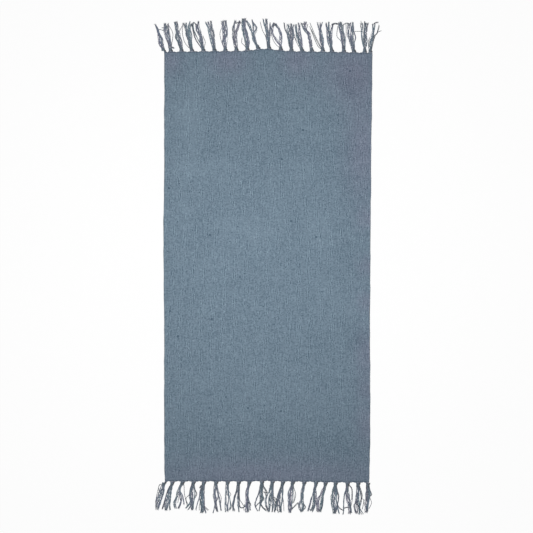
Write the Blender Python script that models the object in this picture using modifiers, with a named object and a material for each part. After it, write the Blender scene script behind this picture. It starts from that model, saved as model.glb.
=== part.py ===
"""A flat-woven cotton rug with a knotted fringe at both ends, lying flat.

Metres, with +Z up and the floor at z = 0. +Y runs along the length and +X across the width. The origin is the
middle of the underside. The cloth is one slab, parted near each end from a narrow heading strip. The warp ends
come out of the heading in bunches. Each bunch is drawn in to a knot, and its strands lie on the floor beyond it.
"""

import math
import random
from collections import namedtuple

import bmesh
import bpy

MM = 0.001

# Cloth
CLOTH_THICK = 0.0040
HALF_LENGTH = 0.7285
LEFT_EDGE = -0.3495
RIGHT_EDGE = 0.3483
HEADING = 0.008  # width of the strip that carries the knots
PARTING = 0.0003  # gap between the strip and the rest of the cloth
RIM_ROUND = 0.0014
RIM_STEPS = 2
COLUMNS = 24
FIELD_ROWS = 26

# How the outline departs from a rectangle
LEFT_SWELL = 0.0030  # the left selvedge bows out here
LEFT_SWELL_AT = 0.070
LEFT_SWELL_REACH = 0.150
RIGHT_TAPER = 0.0063  # per metre of length, wider towards +Y
RIGHT_CURVE = 0.0060
END_SWELL = 0.0078  # the middle of the +Y end is pushed out
END_SWELL_AT = -0.008
END_SWELL_REACH = 0.049
CORNER_DROOP = 0.0045
CORNER_SKEW = 0.0015
FAR_DIP = 0.0017  # the middle of the -Y end is drawn in
FAR_DIP_REACH = 0.040
FAR_DROP = 0.0025  # and its +X half hangs lower
FAR_DROP_AT = 0.170
FAR_DROP_REACH = 0.060

# The cloth's top is a little uneven
Ripple = namedtuple("Ripple", "height wave_x wave_y turn")
RIPPLES = (
    Ripple(0.00016, 0.41, 0.93, 0.4),
    Ripple(0.00012, 0.23, 0.47, 2.1),
    Ripple(0.00009, 0.62, 0.29, 4.4),
)

# Knots and the necks that run into them
NECK_START = -0.003
NECK_END = 0.008
NECK_SIDES = 6
NECK_NEAR = (0.0072, 0.0017)  # half width and half height where it leaves the heading
NECK_FAR = (0.0042, 0.0026)
NECK_LIFT = 0.0002  # its underside clears the floor
NECK_MARGIN = 0.0085  # a neck leaves the cloth at least this far from a corner
KNOT_OUT = 0.009  # from the cloth's end to the middle of the knot
KNOT_HALF = (0.0054, 0.0044, 0.0041)
KNOT_MIDDLE = 0.0029  # height of its middle
KNOT_LIFT = 0.00015  # its flattened underside clears the floor
KNOT_FOOT = 1.5  # and is this much wider than a round one
KNOT_SIDES = 6
KNOT_RINGS = 4

# Strands
STRANDS = 5
ROOT_OUT = 0.008  # the strands start here, inside the knot
ROOT_HALF = 0.0034  # half width of the bundle inside its knot
STRAY_WIDTH = 0.0016
STRAY_CLEAR = 0.0016
STRAND_FILL = 0.84  # a strand's width as a share of its room
STRAND_WIDEST = 0.0034
STRAND_HEIGHT = 0.75  # as a share of its width
TIP_TAPER = 0.75
BELLY_AT = 0.45
STATIONS = (0.0, 0.18, 0.46, 0.75, 1.0)
SHORTEST = 0.93  # the shortest strand of a tassel, as a share of the longest
WELD = 1e-6
SEED = 7

# Each row is a tassel, in millimetres. at is where it leaves the cloth, lean is how far its tip lies to the
# side of that, and bend how far its middle bows. long is from the cloth to the tip. belly and fan are its widths
# at the middle and at the tip. gap_mid and gap_tip part its two locks, and stray_mid and stray_tip say how far a
# loose strand lies from the middle line, with 0 for none.
Tassel = namedtuple("Tassel", "at lean bend long belly fan gap_mid gap_tip stray_mid stray_tip")
TOP_TASSELS = (
    Tassel(-349, -29, 0, 88, 15, 8, 0, 0, 0, 0),
    Tassel(-327, -16, 0, 92, 16, 13, 0, 4, 15, 10),
    Tassel(-291, -19, -3, 95, 15, 13, 0, 2, 0, 0),
    Tassel(-252, -22, 0, 95, 22, 25, 0, 0, -20, -17),
    Tassel(-215, -24, -2, 95, 15, 22, 2, 6, 0, 0),
    Tassel(-178, -19, 1, 97, 20, 20, 0, 4, 0, 0),
    Tassel(-142, -3, 0, 100, 17, 17, 0, 2, -15, -11),
    Tassel(-101, 0, -7, 100, 16, 22, 0, 9, 0, 0),
    Tassel(-66, -12, -1, 104, 17, 14, 0, 0, 0, 0),
    Tassel(-27, -27, -5, 88, 14, 30, 2, 13, 0, 0),
    Tassel(7, -10, 3, 100, 14, 17, 0, 2, -11, -20),
    Tassel(46, -20, 0, 93, 32, 27, 16, 5, 0, 0),
    Tassel(82, -5, 0, 97, 20, 25, 0, 4, 0, 0),
    Tassel(121, -17, -5, 98, 15, 15, 0, 5, 13, 9),
    Tassel(151, -25, 4, 100, 12, 17, 0, 3, 0, 0),
    Tassel(189, -9, 0, 100, 14, 17, 2, 5, -20, -34),
    Tassel(222, -10, -7, 100, 15, 20, 0, 7, 0, 0),
    Tassel(261, -11, 1, 100, 13, 14, 0, 2, -19, -12),
    Tassel(297, -12, -2, 100, 26, 22, 3, 3, 0, 0),
    Tassel(333, -2, -2, 102, 22, 25, 0, 5, 0, 0),
    Tassel(350, 13, 1, 98, 9, 8, 0, 0, 10, 17),
)
BOTTOM_TASSELS = (
    Tassel(-347, -23, -4, 95, 21, 22, 0, 4, 0, 0),
    Tassel(-318, -20, -6, 98, 18, 21, 0, 4, 0, 0),
    Tassel(-283, -20, -6, 93, 20, 27, 4, 8, 17, 20),
    Tassel(-248, -13, 2, 98, 19, 22, 0, 4, -19, -15),
    Tassel(-213, -4, -3, 107, 20, 21, 0, 2, -16, -23),
    Tassel(-173, 3, 3, 105, 20, 26, 3, 4, 0, 0),
    Tassel(-134, 3, 0, 105, 17, 17, 3, 3, 0, 0),
    Tassel(-95, -9, -2, 103, 16, 23, 4, 12, 14, 24),
    Tassel(-59, -6, -5, 105, 12, 15, 0, 2, 0, 0),
    Tassel(-17, -7, -3, 105, 22, 24, 4, 8, 0, 0),
    Tassel(19, -10, -5, 105, 25, 27, 2, 5, 0, 0),
    Tassel(56, -15, -3, 105, 20, 24, 3, 2, 0, 0),
    Tassel(90, -10, -3, 105, 16, 14, 0, 2, 15, 13),
    Tassel(126, -7, -4, 105, 13, 15, 0, 2, 0, 0),
    Tassel(166, -13, 0, 102, 20, 24, 3, 3, 0, 0),
    Tassel(199, -20, -5, 103, 17, 17, 3, 2, 0, 0),
    Tassel(234, -2, -2, 108, 26, 20, 3, 5, 0, 0),
    Tassel(273, 0, -1, 110, 22, 28, 8, 17, 16, 17),
    Tassel(309, 3, 2, 108, 22, 24, 3, 4, 0, 0),
    Tassel(341, -3, 1, 103, 14, 10, 0, 0, 12, 9),
)

# Colours, linear
CLOTH_COLOUR = (0.165, 0.230, 0.295, 1.0)
YARN_COLOUR = (0.140, 0.195, 0.250, 1.0)
COTTON_ROUGHNESS = 0.92


def swell(distance, reach):
    """A smooth hump of height 1 that dies away over the reach."""
    return math.exp(-((distance / reach) ** 2))


def smooth(share):
    """An even rise from 0 to 1."""
    share = min(max(share, 0.0), 1.0)
    return share * share * (3.0 - 2.0 * share)


def left_edge(y):
    return LEFT_EDGE - LEFT_SWELL * swell(y - LEFT_SWELL_AT, LEFT_SWELL_REACH)


def right_edge(y):
    return RIGHT_EDGE + RIGHT_TAPER * y + RIGHT_CURVE * y * y


def top_end(x):
    across = x / RIGHT_EDGE
    droop = CORNER_DROOP * across * across + CORNER_SKEW * across
    return HALF_LENGTH - droop + END_SWELL * swell(x - END_SWELL_AT, END_SWELL_REACH)


def bottom_end(x):
    drop = FAR_DROP * (0.5 + 0.5 * math.tanh((x - FAR_DROP_AT) / FAR_DROP_REACH))
    return -HALF_LENGTH - drop + FAR_DIP * swell(x, FAR_DIP_REACH)


def cloth_height(x, y):
    """The height of the cloth's top above the floor."""
    height = CLOTH_THICK
    for ripple in RIPPLES:
        angle = 2.0 * math.pi * (x / ripple.wave_x + y / ripple.wave_y) + ripple.turn
        height += ripple.height * math.sin(angle)
    return height


def material(name, colour):
    made = bpy.data.materials.new(name)
    made.use_nodes = True
    shader = made.node_tree.nodes["Principled BSDF"]
    shader.inputs["Base Color"].default_value = colour
    shader.inputs["Roughness"].default_value = COTTON_ROUGHNESS
    shader.inputs["Metallic"].default_value = 0.0
    made.diffuse_color = colour
    return made


def collection(name):
    made = bpy.data.collections.new(name)
    bpy.context.scene.collection.children.link(made)
    return made


def object_of(name, bm, holder):
    mesh = bpy.data.meshes.new(name)
    bm.to_mesh(mesh)
    bm.free()
    made = bpy.data.objects.new(name, mesh)
    holder.objects.link(made)
    return made


def slab(name, low, high, rows, rounded, holder):
    """The cloth between two end lines, flat below and uneven above. rounded names the sides with a soft rim."""
    bm = bmesh.new()
    bmesh.ops.create_grid(bm, x_segments=COLUMNS, y_segments=rows, size=1.0)
    share_x = bm.verts.layers.float.new("share_x")
    share_y = bm.verts.layers.float.new("share_y")
    for vert in bm.verts:
        vert[share_x] = 0.5 + 0.5 * vert.co.x
        vert[share_y] = 0.5 + 0.5 * vert.co.y
        rough_x = LEFT_EDGE + (RIGHT_EDGE - LEFT_EDGE) * vert[share_x]
        y = low(rough_x) + (high(rough_x) - low(rough_x)) * vert[share_y]
        x = left_edge(y) + (right_edge(y) - left_edge(y)) * vert[share_x]
        vert.co = (x, y, 0.0)
    raised = bmesh.ops.extrude_face_region(bm, geom=bm.faces[:])["geom"]
    top = {item for item in raised if isinstance(item, bmesh.types.BMVert)}
    for vert in top:
        vert.co.z = cloth_height(vert.co.x, vert.co.y)
    bmesh.ops.recalc_face_normals(bm, faces=bm.faces[:])

    weight = bm.edges.layers.float.new("bevel_weight_edge")
    for edge in bm.edges:
        first, second = edge.verts
        if first not in top or second not in top:
            continue
        sides = {
            "left": first[share_x] == second[share_x] == 0.0,
            "right": first[share_x] == second[share_x] == 1.0,
            "low": first[share_y] == second[share_y] == 0.0,
            "high": first[share_y] == second[share_y] == 1.0,
        }
        if any(sides[side] for side in rounded):
            edge[weight] = 1.0
    made = object_of(name, bm, holder)
    rim = made.modifiers.new("soft rim", "BEVEL")
    rim.limit_method = "WEIGHT"
    rim.width = RIM_ROUND
    rim.segments = RIM_STEPS
    return made


def neck_root(tassel, end_y):
    """Where a tassel's neck leaves the cloth, which at a corner is a little inside the tassel's own line."""
    lowest = left_edge(end_y) + NECK_MARGIN
    highest = right_edge(end_y) - NECK_MARGIN
    return min(max(tassel.at * MM, lowest), highest)


def centre_line(tassel, out):
    """The sideways place of a tassel's middle at a distance out from the cloth."""
    share = out / (tassel.long * MM)
    bow = 4.0 * share * (1.0 - share) * tassel.bend
    return (tassel.at + tassel.lean * share + bow) * MM


def add_neck(bm, tassel, end_line, way):
    """A flattened cone from the cloth's end into the knot."""
    x_near = neck_root(tassel, end_line(tassel.at * MM))
    x_far = centre_line(tassel, NECK_END)
    y_end = end_line(x_near)
    made = bmesh.ops.create_cone(
        bm, cap_ends=True, segments=NECK_SIDES, radius1=1.0, radius2=1.0, depth=1.0
    )
    for vert in made["verts"]:
        near = vert.co.z < 0.0
        half_x, half_z = NECK_NEAR if near else NECK_FAR
        x = (x_near if near else x_far) + half_x * vert.co.x
        y = y_end + way * (NECK_START if near else NECK_END)
        z = NECK_LIFT + half_z * (1.0 + vert.co.y)
        vert.co = (x, y, z)


def add_knot(bm, tassel, end_line, way):
    """A round knot, longer across than along."""
    made = bmesh.ops.create_uvsphere(bm, u_segments=KNOT_SIDES, v_segments=KNOT_RINGS, radius=1.0)
    half_x, half_y, half_z = KNOT_HALF
    x_middle = centre_line(tassel, KNOT_OUT)
    y_middle = end_line(tassel.at * MM) + way * KNOT_OUT
    for vert in made["verts"]:
        x = x_middle + half_x * vert.co.x * (KNOT_FOOT if vert.co.y < 0.0 else 1.0)
        y = y_middle + half_y * vert.co.z
        z = max(KNOT_MIDDLE + half_z * vert.co.y, KNOT_LIFT)
        vert.co = (x, y, z)


def through(start, middle, end, share):
    """The parabola through three values, at shares 0, 0.5 and 1."""
    slope = 4.0 * middle - 3.0 * start - end
    curve = 2.0 * (start + end) - 4.0 * middle
    return start + slope * share + curve * share * share


def half_width(tassel, share):
    """Half of a tassel's width, from its knot to its tip."""
    belly = 0.5 * tassel.belly * MM
    fan = 0.5 * tassel.fan * MM
    if share < BELLY_AT:
        return ROOT_HALF + (belly - ROOT_HALF) * smooth(share / BELLY_AT)
    return belly + (fan - belly) * smooth((share - BELLY_AT) / (1.0 - BELLY_AT))


def bundle_route(tassel, place, count, way, y_end, length):
    """One strand of the main bundle, as places and widths from its knot to its tip."""
    across = (2.0 * place + 1.0) / count - 1.0
    route = []
    for share in STATIONS[1:]:
        out = ROOT_OUT + (length - ROOT_OUT) * share
        gap = max(through(0.0, tassel.gap_mid, tassel.gap_tip, share), 0.0) * MM
        room = half_width(tassel, share) - 0.5 * gap
        x = centre_line(tassel, out) + across * room + math.copysign(0.5 * gap, across)
        width = min(STRAND_FILL * 2.0 * room / count, STRAND_WIDEST)
        width *= TIP_TAPER if share == 1.0 else 1.0
        route.append((x, y_end + way * out, width))
    return route


def stray_route(tassel, way, y_end, length):
    """The loose strand that bows away beside the bundle."""
    side = math.copysign(1.0, tassel.stray_mid)
    route = []
    for share in STATIONS[1:]:
        out = ROOT_OUT + (length - ROOT_OUT) * share
        bow = through(ROOT_HALF, abs(tassel.stray_mid) * MM, abs(tassel.stray_tip) * MM, share)
        offset = max(bow, half_width(tassel, share) + STRAY_CLEAR)
        route.append((centre_line(tassel, out) + side * offset, y_end + way * out, STRAY_WIDTH))
    return route


def strand_routes(tassel, end_line, way, rng):
    """Every strand of a tassel. Their roots lie side by side in the knot."""
    y_end = end_line(tassel.at * MM)
    lengths = [tassel.long * MM * rng.uniform(SHORTEST, 1.0) for _ in range(STRANDS)]
    lengths[rng.randrange(1, STRANDS - 1)] = tassel.long * MM
    stray = None
    if tassel.stray_mid:
        stray = 0 if tassel.stray_mid < 0 else STRANDS - 1
    bundle = [place for place in range(STRANDS) if place != stray]
    root_width = STRAND_FILL * 2.0 * ROOT_HALF / STRANDS
    routes = []
    for place in range(STRANDS):
        root_x = centre_line(tassel, ROOT_OUT) + ((2.0 * place + 1.0) / STRANDS - 1.0) * ROOT_HALF
        root = (root_x, y_end + way * ROOT_OUT, root_width)
        if place == stray:
            rest = stray_route(tassel, way, y_end, lengths[place])
        else:
            rest = bundle_route(
                tassel, bundle.index(place), len(bundle), way, y_end, lengths[place]
            )
        routes.append([root] + rest)
    return routes


def strand_profile(holder):
    """A triangle one unit wide that stands on its base, which the strands are swept from."""
    curve = bpy.data.curves.new("strand_profile", "CURVE")
    curve.dimensions = "2D"
    spline = curve.splines.new("POLY")
    corners = ((-0.5, 0.0), (0.5, 0.0), (0.0, STRAND_HEIGHT))
    spline.points.add(len(corners) - 1)
    for point, (x, y) in zip(spline.points, corners):
        point.co = (x, y, 0.0, 1.0)
    spline.use_cyclic_u = True
    made = bpy.data.objects.new("strand_profile", curve)
    made.hide_render = True
    holder.objects.link(made)
    return made


def strands(name, tassels, end_line, way, profile, cutters):
    """All the strands of one fringe as one mesh, each a closed three-sided sweep resting on the floor."""
    curve = bpy.data.curves.new(name, "CURVE")
    curve.dimensions = "3D"
    curve.twist_mode = "Z_UP"
    curve.bevel_mode = "OBJECT"
    curve.bevel_object = profile
    curve.use_fill_caps = True
    rng = random.Random(SEED)
    for tassel in tassels:
        for route in strand_routes(tassel, end_line, way, rng):
            spline = curve.splines.new("POLY")
            spline.points.add(len(route) - 1)
            for point, (x, y, width) in zip(spline.points, route):
                point.co = (x, y, 0.0, 1.0)
                point.radius = width
    swept = bpy.data.objects.new(name + "_sweep", curve)
    cutters.objects.link(swept)
    bpy.context.view_layer.update()
    graph = bpy.context.evaluated_depsgraph_get()
    mesh = bpy.data.meshes.new_from_object(swept.evaluated_get(graph))
    bm = bmesh.new()
    bm.from_mesh(mesh)
    bmesh.ops.remove_doubles(bm, verts=bm.verts[:], dist=WELD)
    bmesh.ops.recalc_face_normals(bm, faces=bm.faces[:])
    bpy.data.objects.remove(swept)
    bpy.data.meshes.remove(mesh)
    return object_of(name, bm, cutters)


def hide(helper):
    helper.hide_render = True
    helper.display_type = "WIRE"


def fuse(body, others):
    for other in others:
        hide(other)
        join = body.modifiers.new("join " + other.name, "BOOLEAN")
        join.operation = "UNION"
        join.solver = "EXACT"
        join.object = other


def fringe(name, tassels, end_line, way, profile, holder, cutters):
    """A heading strip with its necks, knots and strands fused to it."""
    def inner(x):
        return end_line(x) - way * HEADING

    low, high = (inner, end_line) if way > 0 else (end_line, inner)
    outer = "high" if way > 0 else "low"
    body = slab(name, low, high, 1, ("left", "right", outer), holder)
    necks = bmesh.new()
    knots = bmesh.new()
    for tassel in tassels:
        add_neck(necks, tassel, end_line, way)
        add_knot(knots, tassel, end_line, way)
    for bm in (necks, knots):
        bmesh.ops.recalc_face_normals(bm, faces=bm.faces[:])
    parts = (
        object_of(name + "_necks", necks, cutters),
        object_of(name + "_knots", knots, cutters),
        strands(name + "_strands", tassels, end_line, way, profile, cutters),
    )
    fuse(body, parts)
    return body


def main():
    for old in list(bpy.data.objects):
        bpy.data.objects.remove(old)
    rug = collection("cotton_rug")
    cutters = collection("cotton_rug_helpers")

    inset = HEADING + PARTING
    field = slab(
        "woven_field",
        lambda x: bottom_end(x) + inset,
        lambda x: top_end(x) - inset,
        FIELD_ROWS,
        ("left", "right"),
        rug,
    )
    profile = strand_profile(cutters)
    top = fringe("fringe_top", TOP_TASSELS, top_end, 1.0, profile, rug, cutters)
    bottom = fringe("fringe_bottom", BOTTOM_TASSELS, bottom_end, -1.0, profile, rug, cutters)
    for body, colour in ((field, CLOTH_COLOUR), (top, YARN_COLOUR), (bottom, YARN_COLOUR)):
        body.data.materials.append(material(body.name + "_cotton", colour))


main()
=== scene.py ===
"""A flat-woven cotton rug with a knotted fringe at both ends, seen from above on a white studio floor.

Metres, with +Z up, the rug's length along Y and the floor at z = 0. The cloth is one closed sheet, and
Geometry Nodes raise its ribs. The fringe is made of the cloth's own warps: they leave the cut end side by
side, are drawn in to knots and fan out on the floor. Each yarn is drawn here as a middle line, and Geometry
Nodes spin a two-ply yarn along it.
"""

import logging
import math
import random
from collections.abc import Iterable, Sequence
from dataclasses import dataclass, field
from enum import Enum
from typing import NamedTuple, Union

import bmesh
import bpy
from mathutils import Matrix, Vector


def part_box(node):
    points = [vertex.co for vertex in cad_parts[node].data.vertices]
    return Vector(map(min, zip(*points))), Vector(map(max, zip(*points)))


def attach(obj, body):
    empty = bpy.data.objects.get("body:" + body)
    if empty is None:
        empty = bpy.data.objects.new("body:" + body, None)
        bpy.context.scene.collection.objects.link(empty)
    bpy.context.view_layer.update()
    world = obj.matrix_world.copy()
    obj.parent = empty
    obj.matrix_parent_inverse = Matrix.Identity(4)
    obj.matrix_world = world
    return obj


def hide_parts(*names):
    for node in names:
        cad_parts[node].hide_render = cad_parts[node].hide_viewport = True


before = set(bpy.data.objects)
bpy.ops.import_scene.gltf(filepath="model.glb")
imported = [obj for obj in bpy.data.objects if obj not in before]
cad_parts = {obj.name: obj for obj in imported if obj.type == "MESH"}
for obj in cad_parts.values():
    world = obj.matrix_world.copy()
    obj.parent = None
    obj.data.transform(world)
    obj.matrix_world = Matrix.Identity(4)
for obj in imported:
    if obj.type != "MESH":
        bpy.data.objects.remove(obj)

LOG = logging.getLogger("rug")
MM = 0.001
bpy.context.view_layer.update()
BODY = "root"
FRINGE_STRIP = 0.0083

Colour = tuple[float, float, float, float]
Number = Union["Value", float]


class Slot(Enum):
    """The record's finishes."""

    WEAVE = "weave"
    YARN = "fringe_yarn"


class End(Enum):
    """The two fringed ends of the rug, by the way that each faces along Y."""

    TOP = 1.0
    BOTTOM = -1.0


class Half(Enum):
    """A half of the fringe, and which way it lies from the middle."""

    LEFT = -1.0
    RIGHT = 1.0

    def holds(self, x: float) -> bool:
        """Returns whether x, in any unit, is in this half."""
        return (x >= 0.0) == (self is Half.RIGHT)


class Blend(Enum):
    """How one colour goes over another."""

    PLAIN = "MIX"
    DYE = "MULTIPLY"


class Value:
    """A number on a socket. Python's operators on it add Math nodes to its tree."""

    def __init__(self, graph: "Graph", socket: bpy.types.NodeSocket) -> None:
        """Wraps a socket.

        Args:
            graph: The tree that the socket is in.
            socket: An output that carries a number.
        """
        self.graph = graph
        self.socket = socket

    def maths(self, operation: str, *terms: Number) -> "Value":
        """Adds one Math node.

        Args:
            operation: The node's operation, by Blender's name.
            terms: What goes into its sockets, in order.

        Returns:
            The node's result.
        """
        inputs = dict(enumerate(terms))
        return Value(self.graph, self.graph.out("ShaderNodeMath", inputs, {"operation": operation}))

    def __add__(self, other: Number) -> "Value":
        """Returns self + other."""
        return self.maths("ADD", self, other)

    def __radd__(self, other: Number) -> "Value":
        """Returns other + self."""
        return self.maths("ADD", other, self)

    def __sub__(self, other: Number) -> "Value":
        """Returns self - other."""
        return self.maths("SUBTRACT", self, other)

    def __rsub__(self, other: Number) -> "Value":
        """Returns other - self."""
        return self.maths("SUBTRACT", other, self)

    def __mul__(self, other: Number) -> "Value":
        """Returns self * other."""
        return self.maths("MULTIPLY", self, other)

    def __rmul__(self, other: Number) -> "Value":
        """Returns other * self."""
        return self.maths("MULTIPLY", other, self)

    def __truediv__(self, other: Number) -> "Value":
        """Returns self / other."""
        return self.maths("DIVIDE", self, other)

    def __mod__(self, other: Number) -> "Value":
        """Returns self modulo other, never negative."""
        return self.maths("FLOORED_MODULO", self, other)

    def __gt__(self, other: Number) -> "Value":
        """Returns 1 where self is over other, and 0 elsewhere."""
        return self.maths("GREATER_THAN", self, other)

    def floor(self) -> "Value":
        """Returns the whole number at or under this one."""
        return self.maths("FLOOR", self)

    def hump(self) -> "Value":
        """Returns a round hump of height 1 over each whole step of this number."""
        return self.maths("ABSOLUTE", self.maths("SINE", self * math.pi))

    def at_least(self, other: Number) -> "Value":
        """Returns the larger of this and other."""
        return self.maths("MAXIMUM", self, other)


class Graph:
    """A node tree that is being written."""

    def __init__(self, tree: bpy.types.NodeTree) -> None:
        """Takes the tree to write in.

        Args:
            tree: A shader tree or a Geometry Nodes tree.
        """
        self.tree = tree

    def node(
        self,
        kind: str,
        settings: dict[str, object] | None = None,
        inputs: dict[int | str, object] | None = None,
    ) -> bpy.types.Node:
        """Adds a node.

        Args:
            kind: The node's type, by Blender's name.
            settings: Its properties, which are set before its sockets.
            inputs: What goes into its sockets, each named by index, identifier or label.

        Returns:
            The new node.
        """
        made = self.tree.nodes.new(kind)
        for name, value in (settings or {}).items():
            setattr(made, name, value)
        for key, value in (inputs or {}).items():
            self.fill(self.socket(made, key), value)
        return made

    def out(
        self,
        kind: str,
        inputs: dict[int | str, object] | None = None,
        settings: dict[str, object] | None = None,
    ) -> bpy.types.NodeSocket:
        """Adds a node that has one output of use.

        Args:
            kind: The node's type, by Blender's name.
            inputs: What goes into its sockets.
            settings: Its properties.

        Returns:
            Its first output.
        """
        return self.node(kind, settings, inputs).outputs[0]

    def socket(self, node: bpy.types.Node, key: int | str) -> bpy.types.NodeSocket:
        """Finds an input.

        Args:
            node: The node that has it.
            key: Its index, identifier or label.

        Returns:
            The input.
        """
        if isinstance(key, int):
            return node.inputs[key]
        for socket in node.inputs:
            if socket.identifier == key:
                return socket
        return node.inputs[key]

    def fill(self, socket: bpy.types.NodeSocket, value: object) -> None:
        """Links or sets an input.

        Args:
            socket: The input.
            value: A Value or an output to link, or a plain value to set.
        """
        source = value.socket if isinstance(value, Value) else value
        if isinstance(source, bpy.types.NodeSocket):
            self.tree.links.new(source, socket)
        else:
            socket.default_value = source

    def vector(self, x: Number, y: Number, z: Number) -> bpy.types.NodeSocket:
        """Returns three numbers as one vector."""
        return self.out("ShaderNodeCombineXYZ", {0: x, 1: y, 2: z})

    def parts(self, vector: bpy.types.NodeSocket) -> tuple[Value, Value, Value]:
        """Returns a vector's three numbers."""
        split = self.node("ShaderNodeSeparateXYZ", inputs={0: vector})
        x, y, z = (Value(self, socket) for socket in split.outputs)
        return x, y, z

    def noise(self, place: bpy.types.NodeSocket, scale: float, detail: float = 2.0) -> Value:
        """Adds soft noise.

        Args:
            place: Where it is read.
            scale: Its lumps to a unit of length.
            detail: How many finer layers lie on it.

        Returns:
            A number about 0.5, from 0 to 1.
        """
        inputs = {"Vector": place, "Scale": scale, "Detail": detail}
        return Value(self, self.out("ShaderNodeTexNoise", inputs))

    def chance(self, x: Number, y: Number, turn: float) -> Value:
        """Adds a random number for each pair of whole numbers.

        Args:
            x: The first number.
            y: The second number.
            turn: A third one, which sets this draw apart from others.

        Returns:
            A number from 0 to 1, each as likely.
        """
        inputs = {"Vector": self.vector(x, y, turn)}
        node = self.node("ShaderNodeTexWhiteNoise", {"noise_dimensions": "3D"}, inputs)
        return Value(self, node.outputs["Value"])


class ShaderGraph(Graph):
    """A material's tree."""

    def attribute(self, name: str) -> Value:
        """Returns a number that is stored on the piece's points."""
        node = self.node("ShaderNodeAttribute", {"attribute_name": name})
        return Value(self, node.outputs["Fac"])

    def place(self) -> bpy.types.NodeSocket:
        """Returns the place on the object, in metres."""
        return self.node("ShaderNodeTexCoord").outputs["Object"]

    def distance(self, first: object, second: object) -> Value:
        """Returns how far apart two places are."""
        node = self.node("ShaderNodeVectorMath", {"operation": "DISTANCE"}, {0: first, 1: second})
        return Value(self, node.outputs["Value"])

    def mix(
        self, share: Number, first: object, second: object, blend: Blend = Blend.PLAIN
    ) -> bpy.types.NodeSocket:
        """Mixes two colours.

        Args:
            share: How much of the second colour there is, from 0 to 1.
            first: A colour or an output that carries one.
            second: Another.
            blend: Whether the second covers the first or dyes it.

        Returns:
            The mixed colour.
        """
        inputs = {"Factor_Float": share, "A_Color": first, "B_Color": second}
        settings = {"data_type": "RGBA", "clamp_factor": True, "blend_type": blend.value}
        node = self.node("ShaderNodeMix", settings, inputs)
        return next(out for out in node.outputs if out.identifier == "Result_Color")

    def bump(self, height: Number, depth: float) -> bpy.types.NodeSocket:
        """Turns a height into a normal.

        Args:
            height: The relief, from 0 to 1.
            depth: How high 1 is, in metres.

        Returns:
            The normal.
        """
        inputs = {"Height": height, "Distance": depth, "Strength": 1.0}
        return self.out("ShaderNodeBump", inputs)


class GeometryGraph(Graph):
    """A Geometry Nodes tree with named inputs, which ends in Realize Instances and Set Material."""

    def __init__(self, name: str) -> None:
        """Starts the tree.

        Args:
            name: The tree's name.
        """
        tree = bpy.data.node_groups.new(name, "GeometryNodeTree")
        super().__init__(tree)
        tree.interface.new_socket("Geometry", in_out="OUTPUT", socket_type="NodeSocketGeometry")
        tree.interface.new_socket("Geometry", in_out="INPUT", socket_type="NodeSocketGeometry")
        self.entry = tree.nodes.new("NodeGroupInput")
        self.sizes: dict[str, object] = {}

    @property
    def geometry(self) -> bpy.types.NodeSocket:
        """Returns what comes into the tree."""
        return self.entry.outputs["Geometry"]

    def named(self, name: str, size: object, kind: str = "NodeSocketFloat") -> Value:
        """Adds a named input.

        Args:
            name: The input's name.
            size: What it is set to when the tree runs.
            kind: Its socket type.

        Returns:
            Its value inside the tree.
        """
        item = self.tree.interface.new_socket(name, in_out="INPUT", socket_type=kind)
        self.sizes[item.identifier] = size
        return Value(self, self.entry.outputs[name])

    def attribute(self, name: str) -> Value:
        """Returns a number that is stored on the points."""
        node = self.node("GeometryNodeInputNamedAttribute", {"data_type": "FLOAT"}, {"Name": name})
        return Value(self, node.outputs["Attribute"])

    def close(self, geometry: bpy.types.NodeSocket, finish: bpy.types.Material) -> None:
        """Ends the tree.

        Args:
            geometry: What comes out of it.
            finish: Its material.
        """
        material = self.named("Material", finish, "NodeSocketMaterial")
        smooth = self.out("GeometryNodeSetShadeSmooth", {"Geometry": geometry})
        real = self.out("GeometryNodeRealizeInstances", {"Geometry": smooth})
        dressed = self.out("GeometryNodeSetMaterial", {"Geometry": real, "Material": material})
        self.node("NodeGroupOutput", inputs={"Geometry": dressed})

    def grown(self, name: str, host: bpy.types.Object) -> bpy.types.Object:
        """Runs the tree on an object and keeps the result as a plain mesh.

        Args:
            name: The finished piece's name.
            host: The object that it starts from, which is removed.

        Returns:
            The finished piece.
        """
        modifier = host.modifiers.new(self.tree.name, "NODES")
        modifier.node_group = self.tree
        for identifier, size in self.sizes.items():
            modifier[identifier] = size
        bpy.context.view_layer.update()
        evaluated = host.evaluated_get(bpy.context.evaluated_depsgraph_get())
        mesh = bpy.data.meshes.new_from_object(evaluated)
        host.modifiers.remove(modifier)
        bpy.data.objects.remove(host)
        mesh.name = name
        return linked(name, mesh)


def linked(name: str, data: bpy.types.ID) -> bpy.types.Object:
    """Puts an object in the scene, at the origin.

    Args:
        name: Its name.
        data: Its mesh, light or camera.

    Returns:
        The object.
    """
    made = bpy.data.objects.new(name, data)
    bpy.context.scene.collection.objects.link(made)
    return made


def point_values(mesh: bpy.types.Mesh, name: str, values: Iterable[float]) -> None:
    """Stores a number on each point of a mesh.

    Args:
        mesh: The mesh.
        name: The attribute's name.
        values: The numbers, in the order of the points.
    """
    attribute = mesh.attributes.new(name, "FLOAT", "POINT")
    attribute.data.foreach_set("value", list(values))


def smooth(share: float) -> float:
    """Returns an even rise from 0 to 1."""
    share = min(max(share, 0.0), 1.0)
    return share * share * (3.0 - 2.0 * share)


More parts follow.
